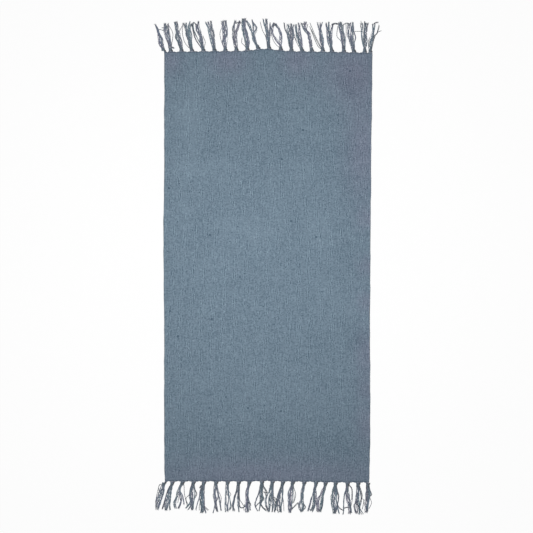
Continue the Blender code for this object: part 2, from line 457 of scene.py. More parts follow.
def flow(places: Sequence[float], values: Sequence[float], at: float) -> float:
    """Reads a smooth curve through some values.

    Args:
        places: Where the values are, in rising order.
        values: The values.
        at: Where the curve is read.

    Returns:
        The curve's value.
    """
    last = len(places) - 1

    def slope(step: int) -> float:
        """Returns the curve's slope at one of the places."""
        low, high = max(step - 1, 0), min(step + 1, last)
        return (values[high] - values[low]) / (places[high] - places[low])

    step = max(index for index in range(last) if index == 0 or places[index] <= at)
    span = places[step + 1] - places[step]
    share = (at - places[step]) / span
    rise = smooth(share)
    leave = share * (1.0 - share) ** 2
    arrive = share * share * (1.0 - share)
    bend = span * (leave * slope(step) - arrive * slope(step + 1))
    return values[step] * (1.0 - rise) + values[step + 1] * rise + bend


class Bulge(NamedTuple):
    """A smooth swelling of an edge: its height, its middle and how far it reaches."""

    height: float
    middle: float
    reach: float

    def at(self, place: float) -> float:
        """Returns how far out the edge is moved at a place."""
        return self.height * math.exp(-(((place - self.middle) / self.reach) ** 2))


class Ripple(NamedTuple):
    """A long low wave in the cloth: its height, its lengths across and along, and its phase."""

    height: float
    wave_x: float
    wave_y: float
    turn: float


class Wobble(NamedTuple):
    """A small wave in a selvedge: its height, its length and its phase."""

    height: float
    wave: float
    turn: float


@dataclass(frozen=True)
class Outline:
    """The cloth's edges and the height of its top. Its main sizes come from the frame.

    The far end is the one at the bottom of the photo. The ripples move the top up and down, and the wobbles
    move both selvedges sideways.
    """

    left: float
    right: float
    half_length: float
    thick: float = 0.0040
    left_swell: Bulge = Bulge(0.0030, 0.070, 0.150)
    draw: Bulge = Bulge(0.0020, -0.715, 0.050)
    right_ease: float = 0.0006
    right_taper: float = 0.0063
    right_curve: float = 0.0060
    right_swell: Bulge = Bulge(0.0020, -0.470, 0.120)
    end_swell: Bulge = Bulge(0.0078, -0.008, 0.049)
    corner_droop: float = 0.0045
    corner_skew: float = 0.0015
    far_out: float = 0.0004
    far_dip: Bulge = Bulge(0.0017, 0.0, 0.040)
    far_drop: float = 0.0036
    far_drop_at: float = 0.170
    far_drop_reach: float = 0.060
    ripples: tuple[Ripple, ...] = (
        Ripple(0.00016, 0.41, 0.93, 0.4),
        Ripple(0.00012, 0.23, 0.47, 2.1),
        Ripple(0.00009, 0.62, 0.29, 4.4),
    )
    wobbles: tuple[Wobble, ...] = (
        Wobble(0.00048, 0.290, 0.7),
        Wobble(0.00048, 0.121, 2.9),
        Wobble(0.00034, 0.053, 5.2),
    )

    @classmethod
    def of_frame(cls, node: str, strip: float) -> "Outline":
        """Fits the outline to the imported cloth.

        Args:
            node: The cloth's node.
            strip: The width at each end that belongs to the fringe, with its parting from the cloth.

        Returns:
            The outline.
        """
        low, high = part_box(node)
        top = high[1]
        right_most = cls.right_taper * top + cls.right_curve * top * top
        return cls(
            left=low[0] + cls.left_swell.height,
            right=high[0] - right_most + cls.right_ease,
            half_length=top + strip - cls.end_swell.height,
        )

    def wobble(self, y: float) -> float:
        """Returns how far a selvedge wanders at y."""
        return sum(wave.height * math.sin(math.tau * y / wave.wave + wave.turn) for wave in self.wobbles)

    def left_edge(self, y: float) -> float:
        """Returns the left selvedge's place at y."""
        return self.left - self.left_swell.at(y) + self.draw.at(y) + self.wobble(y)

    def right_edge(self, y: float) -> float:
        """Returns the right selvedge's place at y."""
        slant = self.right_taper * y + self.right_curve * y * y
        return self.right + slant + self.right_swell.at(y) - self.draw.at(y) + self.wobble(-y)

    def end_line(self, end: End, x: float) -> float:
        """Returns where the cloth ends at x.

        Args:
            end: Which of its ends.
            x: The place across.

        Returns:
            The place along.
        """
        if end is End.TOP:
            across = x / self.right
            droop = self.corner_droop * across * across + self.corner_skew * across
            return self.half_length - droop + self.end_swell.at(x)
        drop = self.far_drop * (0.5 + 0.5 * math.tanh((x - self.far_drop_at) / self.far_drop_reach))
        return -self.half_length - self.far_out - drop + self.far_dip.at(x)

    def height(self, x: float, y: float) -> float:
        """Returns the height of the cloth's top."""
        waves = (
            wave.height * math.sin(math.tau * (x / wave.wave_x + y / wave.wave_y) + wave.turn)
            for wave in self.ripples
        )
        return self.thick + sum(waves)


@dataclass(frozen=True)
class Finish:
    """What every finish has. Each kind of finish links up the rest in dress()."""

    name: str = "finish"
    roughness: float = 0.92
    sheen: float = 0.0

    def made(self) -> bpy.types.Material:
        """Returns the finish as a new material."""
        material = bpy.data.materials.new(self.name)
        material.use_nodes = True
        graph = ShaderGraph(material.node_tree)
        graph.tree.nodes.clear()
        inputs = {"Roughness": self.roughness, "Metallic": 0.0, "Sheen Weight": self.sheen}
        shader = graph.node("ShaderNodeBsdfPrincipled", inputs=inputs)
        graph.node("ShaderNodeOutputMaterial", inputs={"Surface": shader.outputs[0]})
        self.dress(graph, shader)
        return material

    def dress(self, graph: ShaderGraph, shader: bpy.types.Node) -> None:
        """Links what varies over the surface to the shader.

        Args:
            graph: The material's tree.
            shader: Its Principled shader.
        """
        raise NotImplementedError


class Draw(Enum):
    """What is drawn at random over the weave, each by a number that sets it apart from the others."""

    FLOATS = 0.5
    FIBRES = 1.0
    PAIRS = 2.0
    LIGHT_FLECKS = 3.5
    DYE = 4.0
    WEFT = 6.0
    DARK_FLECKS = 7.5


@dataclass(frozen=True)
class WovenCotton(Finish):
    """The cloth: each rib is a column of short floats, with slubs, flecks, soft patches and painted shade.

    A tone goes from 0 for dark to 1 for light. base_tone is the middle, and what else ends in _tone, _fleck,
    _dark or _shade is how far its part of the weave moves the tone. The darkening between the floats and
    along the cloth's cut ends is painted shade, and so are the two darkest soft patches on the right, over
    soft dents.
    Ribs are counted across the cloth and picks along it, and what ends in _ribs or _picks is how long its
    part is in them. What ends in _share is how much of the cloth it is on, and what ends in _scale is its
    lumps to a metre. What ends in _apart, _across or _along is how fast a noise is read over the cloth.
    """

    name: str = "woven_cotton"
    sheen: float = 0.1
    dark: Colour = (0.0595, 0.1063, 0.1538, 1.0)
    light: Colour = (0.3108, 0.4158, 0.5041, 1.0)
    violet_dye: Colour = (1.24, 0.905, 1.0, 1.0)
    base_tone: float = 0.574
    float_tone: float = 0.35
    rib_tone: float = 0.035
    paired_tone: float = 0.80
    paired_ribs: float = 6.0
    paired_picks: float = 10.0
    streak_tone: float = 0.31
    streak_picks: float = 2.8
    streak_edge: float = 0.40
    long_tone: float = 0.41
    long_picks: float = 11.0
    long_edge: float = 0.50
    weft_tone: float = 0.25
    weft_ribs: float = 5.0
    weft_apart: float = 2.3
    rib_apart: float = 3.7
    dye_across: float = 1.3
    dye_along: float = 0.09
    mottle_tone: float = 0.10
    mottle_scale: float = 24.0
    groove_shade: float = 0.35
    pick_wander: float = 1.4
    wander_scale: float = 24.0
    violet_tone: float = 0.36
    dark_share: float = 0.0012
    dark_fleck: float = 0.70
    light_share: float = 0.004
    light_fleck: float = 0.34
    slub_tone: float = 1.0
    slub_reach: float = 0.0043
    slub_height: float = 0.004
    end_shade: float = 0.30
    end_picks: float = 0.8
    float_depth: float = 0.0006
    fibre_along: float = 700.0
    fibre_across: float = 3200.0
    fibre_relief: float = 0.25
    fibre_tone: float = 0.22

    def streaks(
        self, graph: ShaderGraph, column: Value, pick: Value, length: float, edge: float
    ) -> Value:
        """Works out streaks that run along the ribs, with each rib set off from the ones beside it.

        Args:
            graph: The material's tree.
            column: The number of the rib.
            pick: The place along the cloth, in picks.
            length: How many picks a streak is long.
            edge: How strongly a rib is set off.

        Returns:
            The streaks, evenly spread about 0.
        """

        def rib_streak(side: float) -> Value:
            """Returns the streak of the rib at this one's side."""
            place = graph.vector((column + side) * self.rib_apart, pick / length, length)
            return graph.noise(place, 1.0, 1.0) - 0.5

        return rib_streak(0.0) - edge * (rib_streak(-1.0) + rib_streak(1.0))

    def dress(self, graph: ShaderGraph, shader: bpy.types.Node) -> None:
        """Links the weave to the shader's colour and normal.

        Args:
            graph: The material's tree.
            shader: Its Principled shader.
        """

        def drawn(across: Value, along: Value, draw: Draw) -> Value:
            """Returns smooth random numbers over two lengths."""
            return graph.noise(graph.vector(across, along, draw.value), 1.0, 1.0)

        rib = graph.attribute("rib")
        place = graph.place()
        wander = graph.noise(place, self.wander_scale, 1.0) - 0.5
        pick = graph.attribute("pick") + self.pick_wander * wander
        x, y, _ = graph.parts(place)
        threads = graph.vector(x * self.fibre_along, y * self.fibre_across, Draw.FIBRES.value)
        fibre = graph.noise(threads, 1.0)
        column = rib.floor()
        odd = column % 2.0
        brick = pick + odd * 0.5
        row = brick.floor()
        seam = 1.0 - brick.hump()
        gap = 1.0 - rib.hump()
        pairs = drawn(column / self.paired_ribs, pick / self.paired_picks, Draw.PAIRS)
        weft = drawn(column / self.weft_ribs, pick.floor() * self.weft_apart, Draw.WEFT)
        # Painted shade along the cloth's cut ends, where the warps leave it: the tone darkens over the last
        # picks.
        end = (1.0 - graph.attribute("to_end") / self.end_picks).at_least(0.0)
        tone = (
            self.base_tone
            + self.float_tone * (graph.chance(column, row, Draw.FLOATS.value) - 0.5)
            + (odd - 0.5) * (self.rib_tone + self.paired_tone * (pairs - 0.5))
            + self.streak_tone * self.streaks(graph, column, pick, self.streak_picks, self.streak_edge)
            + self.long_tone * self.streaks(graph, column, pick, self.long_picks, self.long_edge)
            + self.weft_tone * (weft - 0.5)
            + self.mottle_tone * (graph.noise(place, self.mottle_scale) - 0.5)
            + graph.attribute("shade")
            + self.fibre_tone * (fibre - 0.5)
            # Painted shade: darker at the seams between floats and the gaps between ribs, where the yarns
            # curve away.
            - self.groove_shade * (seam * seam + gap * gap)
            - self.end_shade * end
        )
        dark = graph.chance(column, row, Draw.DARK_FLECKS.value) > 1.0 - self.dark_share
        light = graph.chance(column, row, Draw.LIGHT_FLECKS.value) > 1.0 - self.light_share
        tone = tone - self.dark_fleck * dark + self.light_fleck * light
        for slub in DARK_SLUBS:
            near = 1.0 - graph.distance(place, (slub.x * MM, slub.y * MM, self.slub_height)) / self.slub_reach
            tone = tone - self.slub_tone * near.at_least(0.0)
        colour = graph.mix(tone, self.dark, self.light)
        dyeing = drawn(column * self.dye_across, pick * self.dye_along, Draw.DYE)
        violet = graph.attribute("violet") + self.violet_tone * (dyeing - 0.5)
        colour = graph.mix(violet, colour, self.violet_dye, Blend.DYE)
        graph.fill(shader.inputs["Base Color"], colour)
        relief = self.fibre_relief * fibre - seam * seam
        graph.fill(shader.inputs["Normal"], graph.bump(relief, self.float_depth))


@dataclass(frozen=True)
class LooseCotton(Finish):
    """The fringe's yarn. Each has its own tone and hue, and the knots and cut tips are darker."""

    name: str = "loose_cotton"
    sheen: float = 0.1
    dark: Colour = (0.057, 0.077, 0.094, 1.0)
    light: Colour = (0.222, 0.336, 0.417, 1.0)
    violet_dye: Colour = (1.34, 0.89, 1.06, 1.0)
    brown_dye: Colour = (1.10, 0.98, 0.76, 1.0)
    slub_tone: float = 0.5
    slub_scale: float = 240.0
    fibre_depth: float = 0.00018
    fibre_scale: float = 3000.0

    def dress(self, graph: ShaderGraph, shader: bpy.types.Node) -> None:
        """Links the yarns' tones to the shader's colour, and their fibres to its normal.

        Args:
            graph: The material's tree.
            shader: Its Principled shader.
        """
        place = graph.place()
        slub = graph.noise(place, self.slub_scale)
        tone = graph.attribute("tone") + self.slub_tone * (slub - 0.5)
        colour = graph.mix(tone, self.dark, self.light)
        colour = graph.mix(graph.attribute("hue"), colour, self.violet_dye, Blend.DYE)
        colour = graph.mix(graph.attribute("warm"), colour, self.brown_dye, Blend.DYE)
        graph.fill(shader.inputs["Base Color"], colour)
        fibre = graph.noise(place, self.fibre_scale)
        graph.fill(shader.inputs["Normal"], graph.bump(fibre, self.fibre_depth))


@dataclass(frozen=True)
class StudioWhite(Finish):
    """The floor: matt white, lit a little from within so that it stays white far from the lamp."""

    name: str = "studio_white"
    roughness: float = 1.0
    white: Colour = (0.06, 0.06, 0.06, 1.0)
    glow: float = 0.932
    grain: float = 0.01
    grain_scale: float = 40.0

    def dress(self, graph: ShaderGraph, shader: bpy.types.Node) -> None:
        """Sets the floor's glow, and a very faint grain in its colour.

        Args:
            graph: The material's tree.
            shader: Its Principled shader.
        """
        dull = tuple(part - self.grain for part in self.white[:3]) + (1.0,)
        grain = graph.noise(graph.place(), self.grain_scale)
        graph.fill(shader.inputs["Base Color"], graph.mix(grain, self.white, dull))
        graph.fill(shader.inputs["Emission Color"], (1.0, 1.0, 1.0, 1.0))
        graph.fill(shader.inputs["Emission Strength"], self.glow)


class Patch(NamedTuple):
    """A soft patch on the cloth: its middle, its reach each way, in millimetres, and its strength."""

    x: float
    y: float
    reach_x: float
    reach_y: float
    strength: float


class Slub(NamedTuple):
    """A small dark knot in the weft, in millimetres."""

    x: float
    y: float


DARK_SLUBS = (
    Slub(280, 662),
    Slub(100, 536),
    Slub(239, 513),
    Slub(121, 462),
    Slub(49, 363),
    Slub(-334, 265),
    Slub(80, 153),
    Slub(-195, 106),
    Slub(165, 99),
    Slub(-93, -37),
    Slub(-330, -152),
    Slub(-188, -179),
    Slub(-303, -237),
    Slub(-140, -443),
    Slub(-66, -481),
    Slub(46, -491),
)
# Soft patches that lighten or darken the cloth's tone. The two darkest, on the right at y 610 and -250 mm,
# are painted shade over soft dents.
PATCHES_AND_DENT_SHADE = (
    Patch(-240, 640, 45, 60, 0.065),
    Patch(-265, 530, 50, 60, 0.105),
    Patch(-270, 450, 35, 70, 0.052),
    Patch(-265, 325, 50, 35, 0.105),
    Patch(-170, 335, 60, 30, 0.052),
    Patch(-290, 170, 40, 60, 0.046),
    Patch(-145, 135, 35, 35, 0.065),
    Patch(-80, 120, 45, 30, 0.065),
    Patch(-20, 110, 50, 50, 0.046),
    Patch(35, 190, 30, 50, 0.052),
    Patch(150, 125, 30, 40, 0.078),
    Patch(200, 150, 35, 45, 0.060),
    Patch(195, 75, 40, 30, 0.060),
    Patch(-180, 10, 90, 40, 0.052),
    Patch(220, 565, 50, 25, 0.052),
    Patch(115, 500, 50, 50, 0.040),
    Patch(120, 330, 40, 40, 0.040),
    Patch(-190, -125, 30, 45, 0.040),
    Patch(210, -75, 40, 50, 0.046),
    Patch(300, -145, 50, 40, 0.046),
    Patch(-230, -390, 60, 25, 0.052),
    Patch(-35, -345, 30, 25, 0.052),
    Patch(30, -430, 150, 60, 0.040),
    Patch(-90, -515, 60, 30, 0.046),
    # Painted shade over a soft dent.
    Patch(280, 610, 45, 45, -0.092),
    Patch(270, 390, 40, 30, -0.078),
    Patch(285, 260, 35, 60, -0.052),
    Patch(270, 30, 40, 60, -0.052),
    # Painted shade over a soft dent.
    Patch(300, -250, 40, 35, -0.092),
    Patch(160, -255, 30, 30, -0.052),
    Patch(40, -265, 30, 25, -0.052),
    Patch(0, 390, 260, 25, -0.026),
    Patch(0, -600, 330, 60, -0.040),
    Patch(240, -620, 80, 60, -0.040),
    Patch(100, -450, 30, 25, -0.040),
)
VIOLET_PATCHES = (
    Patch(-330, 700, 45, 50, 0.45),
    Patch(-135, 700, 70, 55, 0.50),
    Patch(100, 700, 55, 55, 0.50),
    Patch(290, 660, 100, 100, 0.55),
    Patch(325, 400, 60, 170, 0.50),
    Patch(340, 160, 35, 35, 0.40),
    Patch(340, 0, 35, 35, 0.40),
    Patch(340, -120, 35, 35, 0.40),
    Patch(340, -300, 40, 90, 0.45),
    Patch(340, -420, 35, 30, 0.35),
    Patch(340, -540, 40, 70, 0.45),
    Patch(0, -710, 440, 60, 0.50),
)


def patched(patches: Sequence[Patch], x: float, y: float) -> float:
    """Adds up soft patches.

    Args:
        patches: The patches.
        x: The place across, in metres.
        y: The place along, in metres.

    Returns:
        Their strength there.
    """
    total = 0.0
    for patch in patches:
        across = (x / MM - patch.x) / patch.reach_x
        along = (y / MM - patch.y) / patch.reach_y
        total += patch.strength * math.exp(-across * across - along * along)
    return total


class Line(NamedTuple):
    """A line of the cloth's points: its share of the way, its inset and drop, and how much relief."""

    share: float
    inset: float
    drop: float
    relief: float


@dataclass
class Cloth:
    """The woven cloth, as one closed sheet that lies on the floor."""

    outline: Outline
    finish: WovenCotton = field(default_factory=WovenCotton)
    ribs: int = 186
    rib_points: int = 5
    rows: int = 99
    pick: float = 0.0030
    rim: float = 0.0014
    rim_turns: tuple[float, ...] = (0.0, 30.0, 60.0)
    under_columns: int = 25
    under_rows: int = 8
    rib_height: float = 0.00055
    rib_middle: float = 0.6
    rib_unevenness: float = 0.5
    rib_apart: float = 1.7
    slub_length: float = 0.045
    seed: float = 3.0

    def lines(self, count: int) -> list[Line]:
        """Spaces lines of points from one edge to the other, with a rounded rim at both.

        Args:
            count: How many spaces there are between the rims.

        Returns:
            The lines, in order.
        """
        turns = [math.radians(turn) for turn in self.rim_turns]
        rim = [(self.rim * (1.0 - math.cos(turn)), self.rim * (1.0 - math.sin(turn))) for turn in turns]
        first = [Line(0.0, inset, drop, 1.0 - (drop / self.rim) ** 2) for inset, drop in rim]
        last = [Line(1.0, -line.inset, line.drop, line.relief) for line in reversed(first)]
        middle = [
            Line(step / count, self.rim * (1.0 - 2.0 * step / count), 0.0, 1.0)
            for step in range(count + 1)
        ]
        return first + middle + last

    def place(self, across: Line, along: Line) -> tuple[float, float]:
        """Works out where a point of the cloth lies.

        Args:
            across: The line that gives its place between the selvedges.
            along: The line that gives its place between the ends.

        Returns:
            Its x and y.
        """
        outline = self.outline
        rough_x = outline.left + (outline.right - outline.left) * across.share
        low = outline.end_line(End.BOTTOM, rough_x)
        high = outline.end_line(End.TOP, rough_x)
        y = low + (high - low) * along.share + along.inset
        left = outline.left_edge(y)
        right = outline.right_edge(y)
        return left + (right - left) * across.share + across.inset, y

    def blank(self) -> bpy.types.Object:
        """Builds the smooth sheet: its top, its flat underside and the walls between them.

        Returns:
            The sheet, with its rib and pick counts and its relief stored on its points.
        """
        columns = self.lines(self.ribs * self.rib_points)
        rows = self.lines(self.rows)
        picks = 2.0 * self.outline.half_length / self.pick
        bm = bmesh.new()
        rib = bm.verts.layers.float.new("rib")
        pick = bm.verts.layers.float.new("pick")
        relief = bm.verts.layers.float.new("relief")
        to_end = bm.verts.layers.float.new("to_end")
        shade = bm.verts.layers.float.new("shade")
        violet = bm.verts.layers.float.new("violet")

        def point(across: Line, along: Line, under: bool) -> bmesh.types.BMVert:
            """Adds a point of the top or of the underside."""
            x, y = self.place(across, along)
            z = 0.0 if under else self.outline.height(x, y) - max(across.drop, along.drop)
            made = bm.verts.new((x, y, z))
            made[rib] = across.share * self.ribs
            made[pick] = along.share * picks
            made[relief] = 0.0 if under else across.relief * along.relief
            made[to_end] = picks * min(along.share, 1.0 - along.share)
            made[shade] = patched(PATCHES_AND_DENT_SHADE, x, y)
            made[violet] = patched(VIOLET_PATCHES, x, y)
            return made

        top = [[point(across, along, False) for across in columns] for along in rows]
        for lower, upper in zip(top, top[1:]):
            for step in range(len(columns) - 1):
                bm.faces.new((lower[step], lower[step + 1], upper[step + 1], upper[step]))

        cut_x = self.cuts(len(columns), self.under_columns)
        cut_y = self.cuts(len(rows), self.under_rows)
        under = [[point(columns[x], rows[y], True) for x in cut_x] for y in cut_y]
        for lower, upper in zip(under, under[1:]):
            for step in range(self.under_columns):
                bm.faces.new((lower[step], upper[step], upper[step + 1], lower[step + 1]))
        for row, low in ((top[0], under[0]), (top[-1], under[-1])):
            self.wall(bm, row, low, cut_x)
        for side in (0, -1):
            self.wall(bm, [row[side] for row in top], [row[side] for row in under], cut_y)
        bmesh.ops.recalc_face_normals(bm, faces=bm.faces[:])
        mesh = bpy.data.meshes.new("cloth_blank")
        bm.to_mesh(mesh)
        bm.free()
        return linked("cloth_blank", mesh)

    @staticmethod
    def cuts(count: int, spaces: int) -> list[int]:
        """Picks evenly spaced lines out of many.

        Args:
            count: How many lines there are.
            spaces: How many spaces the picked ones leave.

        Returns:
            The places of the picked lines.
        """
        return [round(step * (count - 1) / spaces) for step in range(spaces + 1)]

    @staticmethod
    def wall(bm: bmesh.types.BMesh, high: Sequence, low: Sequence, cuts: Sequence[int]) -> None:
        """Joins an edge of the top to the coarser edge of the underside.

        Args:
            bm: The sheet.
            high: The points of the top's edge.
            low: The points of the underside's edge.
            cuts: Which points of the top stand over those of the underside.
        """
        for step, (first, last) in enumerate(zip(cuts, cuts[1:])):
            bm.faces.new((*high[first : last + 1], low[step + 1], low[step]))

    def relief_tree(self) -> GeometryGraph:
        """Writes the tree that raises the ribs, each a little unevenly along its length.

        Returns:
            The tree.
        """
        graph = GeometryGraph("raise_ribs")
        height = graph.named("Rib Height", self.rib_height)
        middle = graph.named("Rib Middle", self.rib_middle)
        unevenness = graph.named("Unevenness", self.rib_unevenness)
        slub_length = graph.named("Slub Length", self.slub_length)
        seed = graph.named("Seed", self.seed)
        rib = graph.attribute("rib")
        _, y, _ = graph.parts(graph.out("GeometryNodeInputPosition"))
        slub = graph.noise(graph.vector(rib.floor() * self.rib_apart, y / slub_length, seed), 1.0)
        crest = rib.hump() * (1.0 + unevenness * (slub - 0.5)) - middle
        lift = graph.vector(0.0, 0.0, graph.attribute("relief") * height * crest)
        raised = graph.out("GeometryNodeSetPosition", {"Geometry": graph.geometry, "Offset": lift})
        graph.close(raised, self.finish.made())
        return graph

    def build(self) -> bpy.types.Object:
        """Makes the finished cloth.

        Returns:
            The piece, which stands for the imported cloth.
        """
        return self.relief_tree().grown("rug_cloth", self.blank())


class Lock(NamedTuple):
    """One lock of a tassel, in millimetres.

    x_30, x_55 and x_80 are where it lies at those hundredths of its length, and x_tip is where it ends. long
    is from the cloth to its tip, and mid and end are its widths at the middle and at the tip.
    """

    x_30: float
    x_55: float
    x_80: float
    x_tip: float
    long: float
    mid: float
    end: float


class Tassel(NamedTuple):
    """A tassel: where it leaves the cloth, in millimetres, and its locks."""

    at: float
    locks: tuple[Lock, ...]


def tassel(at: float, *rows: tuple[float, ...]) -> Tassel:
    """Returns the tassel that leaves the cloth at that place, with a lock for each row."""
    return Tassel(at, tuple(Lock(*row) for row in rows))


class Loose(NamedTuple):
    """A yarn that strays from its tassel, in millimetres.

    tassel is counted from the left, from 1. The yarn passes three places, each given by x and by how far out
    from the cloth it is. strands says how many lie side by side. A yarn that is not rooted in its knot starts
    at its first place and lies on the others.
    """

    tassel: int
    x_near: float
    out_near: float
    x_mid: float
    out_mid: float
    x_tip: float
    out_tip: float
    strands: int = 1
    rooted: bool = True


TOP_TASSELS = (
    tassel(-349, (-366, -367, -372, -380, 95, 8, 5), (-357, -363, -371, -379, 92, 7, 4)),
    tassel(
        -327,
        (-335, -342, -347, -348, 97, 8, 6), (-331, -334, -338, -343, 92, 6, 5),
        (-329, -332, -335, -337, 97, 4, 4),
    ),
    tassel(-291, (-303, -309, -309, -315, 101, 6, 6), (-295, -302, -305, -309, 103, 9, 6)),
    tassel(
        -254,
        (-268, -273, -278, -285, 98, 5, 5), (-264, -268, -274, -277, 98, 5, 6),
        (-260, -264, -267, -263, 103, 4, 4), (-258, -257, -262, -258, 96, 4, 4),
    ),
    tassel(
        -216,
        (-225, -229, -238, -241, 93, 8, 6), (-222, -226, -233, -233, 103, 6, 5),
        (-232, -243, -251, -251, 99, 3, 4),
    ),
    tassel(
        -178,
        (-190, -196, -200, -208, 99, 6, 4), (-186, -190, -195, -201, 101, 4, 4),
        (-181, -183, -189, -191, 104, 6, 5),
    ),
    tassel(-143, (-149, -147, -150, -151, 104, 8, 7), (-143, -140, -141, -142, 105, 9, 7)),
    tassel(-105, (-114, -114, -114, -109, 105, 7, 5), (-107, -106, -99, -94, 104, 8, 5)),
    tassel(
        -68,
        (-75, -81, -84, -84, 109, 6, 6), (-69, -74, -77, -76, 110, 7, 6), (-64, -71, -80, -80, 109, 6, 5),
    ),
    tassel(
        -29,
        (-47, -52, -60, -70, 98, 8, 5), (-43, -44, -37, -48, 92, 6, 4), (-45, -47, -47, -52, 101, 4, 3),
    ),
    tassel(6, (0, -1, -3, -3, 103, 9, 6), (2, -3, -10, -14, 102, 4, 4), (6, 7, 8, 9, 88, 4, 3)),
    tassel(45, (45, 46, 38, 29, 92, 8, 6), (31, 19, 17, 23, 95, 6, 6)),
    tassel(81, (74, 71, 71, 71, 93, 7, 9), (81, 80, 81, 81, 94, 9, 4), (85, 88, 87, 89, 91, 5, 5)),
    tassel(
        119,
        (107, 101, 98, 97, 93, 7, 4), (112, 109, 108, 106, 97, 7, 5), (117, 115, 111, 110, 88, 3, 3),
    ),
    tassel(151, (145, 141, 127, 129, 102, 9, 7), (144, 138, 122, 117, 97, 4, 5)),
    tassel(
        187,
        (190, 184, 181, 186, 100, 6, 3), (181, 178, 179, 179, 100, 5, 3), (184, 180, 174, 171, 100, 4, 4),
    ),
    tassel(
        220,
        (208, 205, 202, 200, 98, 7, 4), (212, 211, 208, 209, 103, 7, 4), (216, 216, 218, 221, 97, 6, 6),
    ),
    tassel(
        259,
        (258, 254, 250, 249, 103, 10, 6), (254, 251, 245, 243, 102, 5, 5), (263, 261, 257, 256, 96, 4, 4),
    ),
    tassel(
        295,
        (282, 276, 275, 277, 100, 7, 6), (287, 283, 284, 283, 102, 4, 3), (291, 289, 289, 290, 103, 6, 4),
        (295, 299, 293, 292, 90, 3, 3),
    ),
    tassel(
        329,
        (333, 332, 335, 338, 102, 9, 8), (327, 328, 329, 331, 107, 5, 4), (323, 320, 321, 320, 101, 4, 7),
    ),
    tassel(348, (350, 356, 359, 358, 98, 8, 4), (352, 357, 362, 364, 99, 4, 4)),
)
BOTTOM_TASSELS = (
    tassel(
        -347,
        (-364, -371, -374, -374, 94, 9, 9), (-357, -362, -365, -370, 92, 9, 5),
        (-351, -356, -364, -367, 86, 5, 3),
    ),
    tassel(
        -321,
        (-336, -341, -345, -345, 96, 8, 8), (-330, -332, -337, -342, 95, 9, 5),
        (-328, -329, -331, -330, 96, 4, 5), (-338, -345, -350, -356, 92, 4, 5),
    ),
    tassel(
        -285,
        (-303, -308, -314, -311, 90, 8, 7), (-297, -291, -294, -301, 90, 4, 6),
        (-299, -297, -293, -300, 90, 3, 4), (-298, -289, -285, -283, 77, 4, 4),
    ),
    tassel(
        -249,
        (-260, -259, -258, -255, 95, 9, 6), (-255, -254, -257, -268, 95, 6, 5),
        (-262, -261, -263, -275, 90, 4, 5), (-247, -247, -251, -252, 94, 4, 4),
    ),
    tassel(
        -214,
        (-225, -226, -222, -223, 105, 9, 7), (-221, -220, -218, -218, 103, 7, 6),
        (-217, -216, -215, -209, 105, 8, 4), (-229, -231, -238, -242, 95, 4, 3),
    ),
    tassel(
        -173,
        (-180, -178, -174, -170, 101, 8, 6), (-169, -163, -160, -157, 97, 5, 4),
        (-178, -174, -179, -184, 104, 5, 3), (-170, -167, -176, -176, 91, 4, 4),
    ),
    tassel(
        -134,
        (-141, -141, -140, -138, 102, 6, 9), (-133, -131, -134, -134, 99, 4, 5),
        (-132, -128, -125, -128, 97, 3, 5),
    ),
    tassel(-96, (-105, -112, -116, -113, 98, 7, 6), (-99, -99, -98, -97, 101, 7, 4)),
    tassel(
        -60,
        (-70, -70, -71, -70, 103, 8, 9), (-66, -65, -66, -65, 102, 5, 5), (-65, -64, -59, -59, 98, 3, 5),
    ),
    tassel(
        -18,
        (-28, -36, -42, -34, 101, 5, 3), (-22, -22, -23, -28, 98, 8, 3), (-20, -16, -21, -6, 100, 4, 4),
    ),
    tassel(
        18,
        (5, -4, -4, 2, 101, 6, 7), (11, 8, 7, 6, 103, 8, 5), (16, 15, 19, 17, 103, 7, 4),
        (18, 18, 26, 24, 104, 4, 4),
    ),
    tassel(
        54,
        (44, 41, 42, 44, 102, 7, 8), (51, 51, 47, 47, 103, 5, 4), (40, 34, 31, 26, 99, 4, 5),
        (42, 37, 34, 36, 103, 3, 4),
    ),
    tassel(88, (74, 73, 73, 76, 103, 8, 6), (82, 77, 80, 79, 104, 8, 5), (85, 86, 82, 83, 94, 3, 5)),
    tassel(
        126,
        (117, 115, 107, 115, 101, 7, 7), (120, 119, 120, 117, 101, 7, 7), (121, 120, 124, 121, 98, 3, 4),
    ),
    tassel(
        165,
        (162, 164, 169, 170, 98, 8, 7), (156, 149, 143, 139, 98, 6, 5), (159, 157, 156, 147, 97, 5, 5),
        (160, 160, 160, 153, 99, 4, 5),
    ),
    tassel(
        198,
        (184, 173, 172, 174, 99, 7, 8), (190, 184, 182, 179, 99, 8, 7), (192, 188, 187, 181, 96, 4, 5),
    ),
    tassel(
        233,
        (221, 219, 222, 225, 104, 7, 7), (229, 226, 229, 230, 104, 7, 6), (234, 234, 238, 243, 104, 5, 4),
        (238, 241, 236, 233, 100, 4, 4),
    ),
    tassel(
        272,
        (269, 273, 279, 279, 105, 9, 8), (273, 279, 281, 285, 102, 7, 5), (262, 259, 259, 256, 106, 4, 4),
    ),
    tassel(
        308,
        (305, 300, 298, 302, 103, 8, 8), (309, 310, 312, 311, 106, 6, 4), (316, 318, 313, 322, 106, 4, 7),
        (308, 304, 307, 305, 100, 4, 4),
    ),
    tassel(
        341,
        (338, 337, 336, 335, 101, 9, 9), (343, 343, 340, 339, 96, 7, 5), (348, 346, 341, 338, 97, 4, 4),
    ),
)
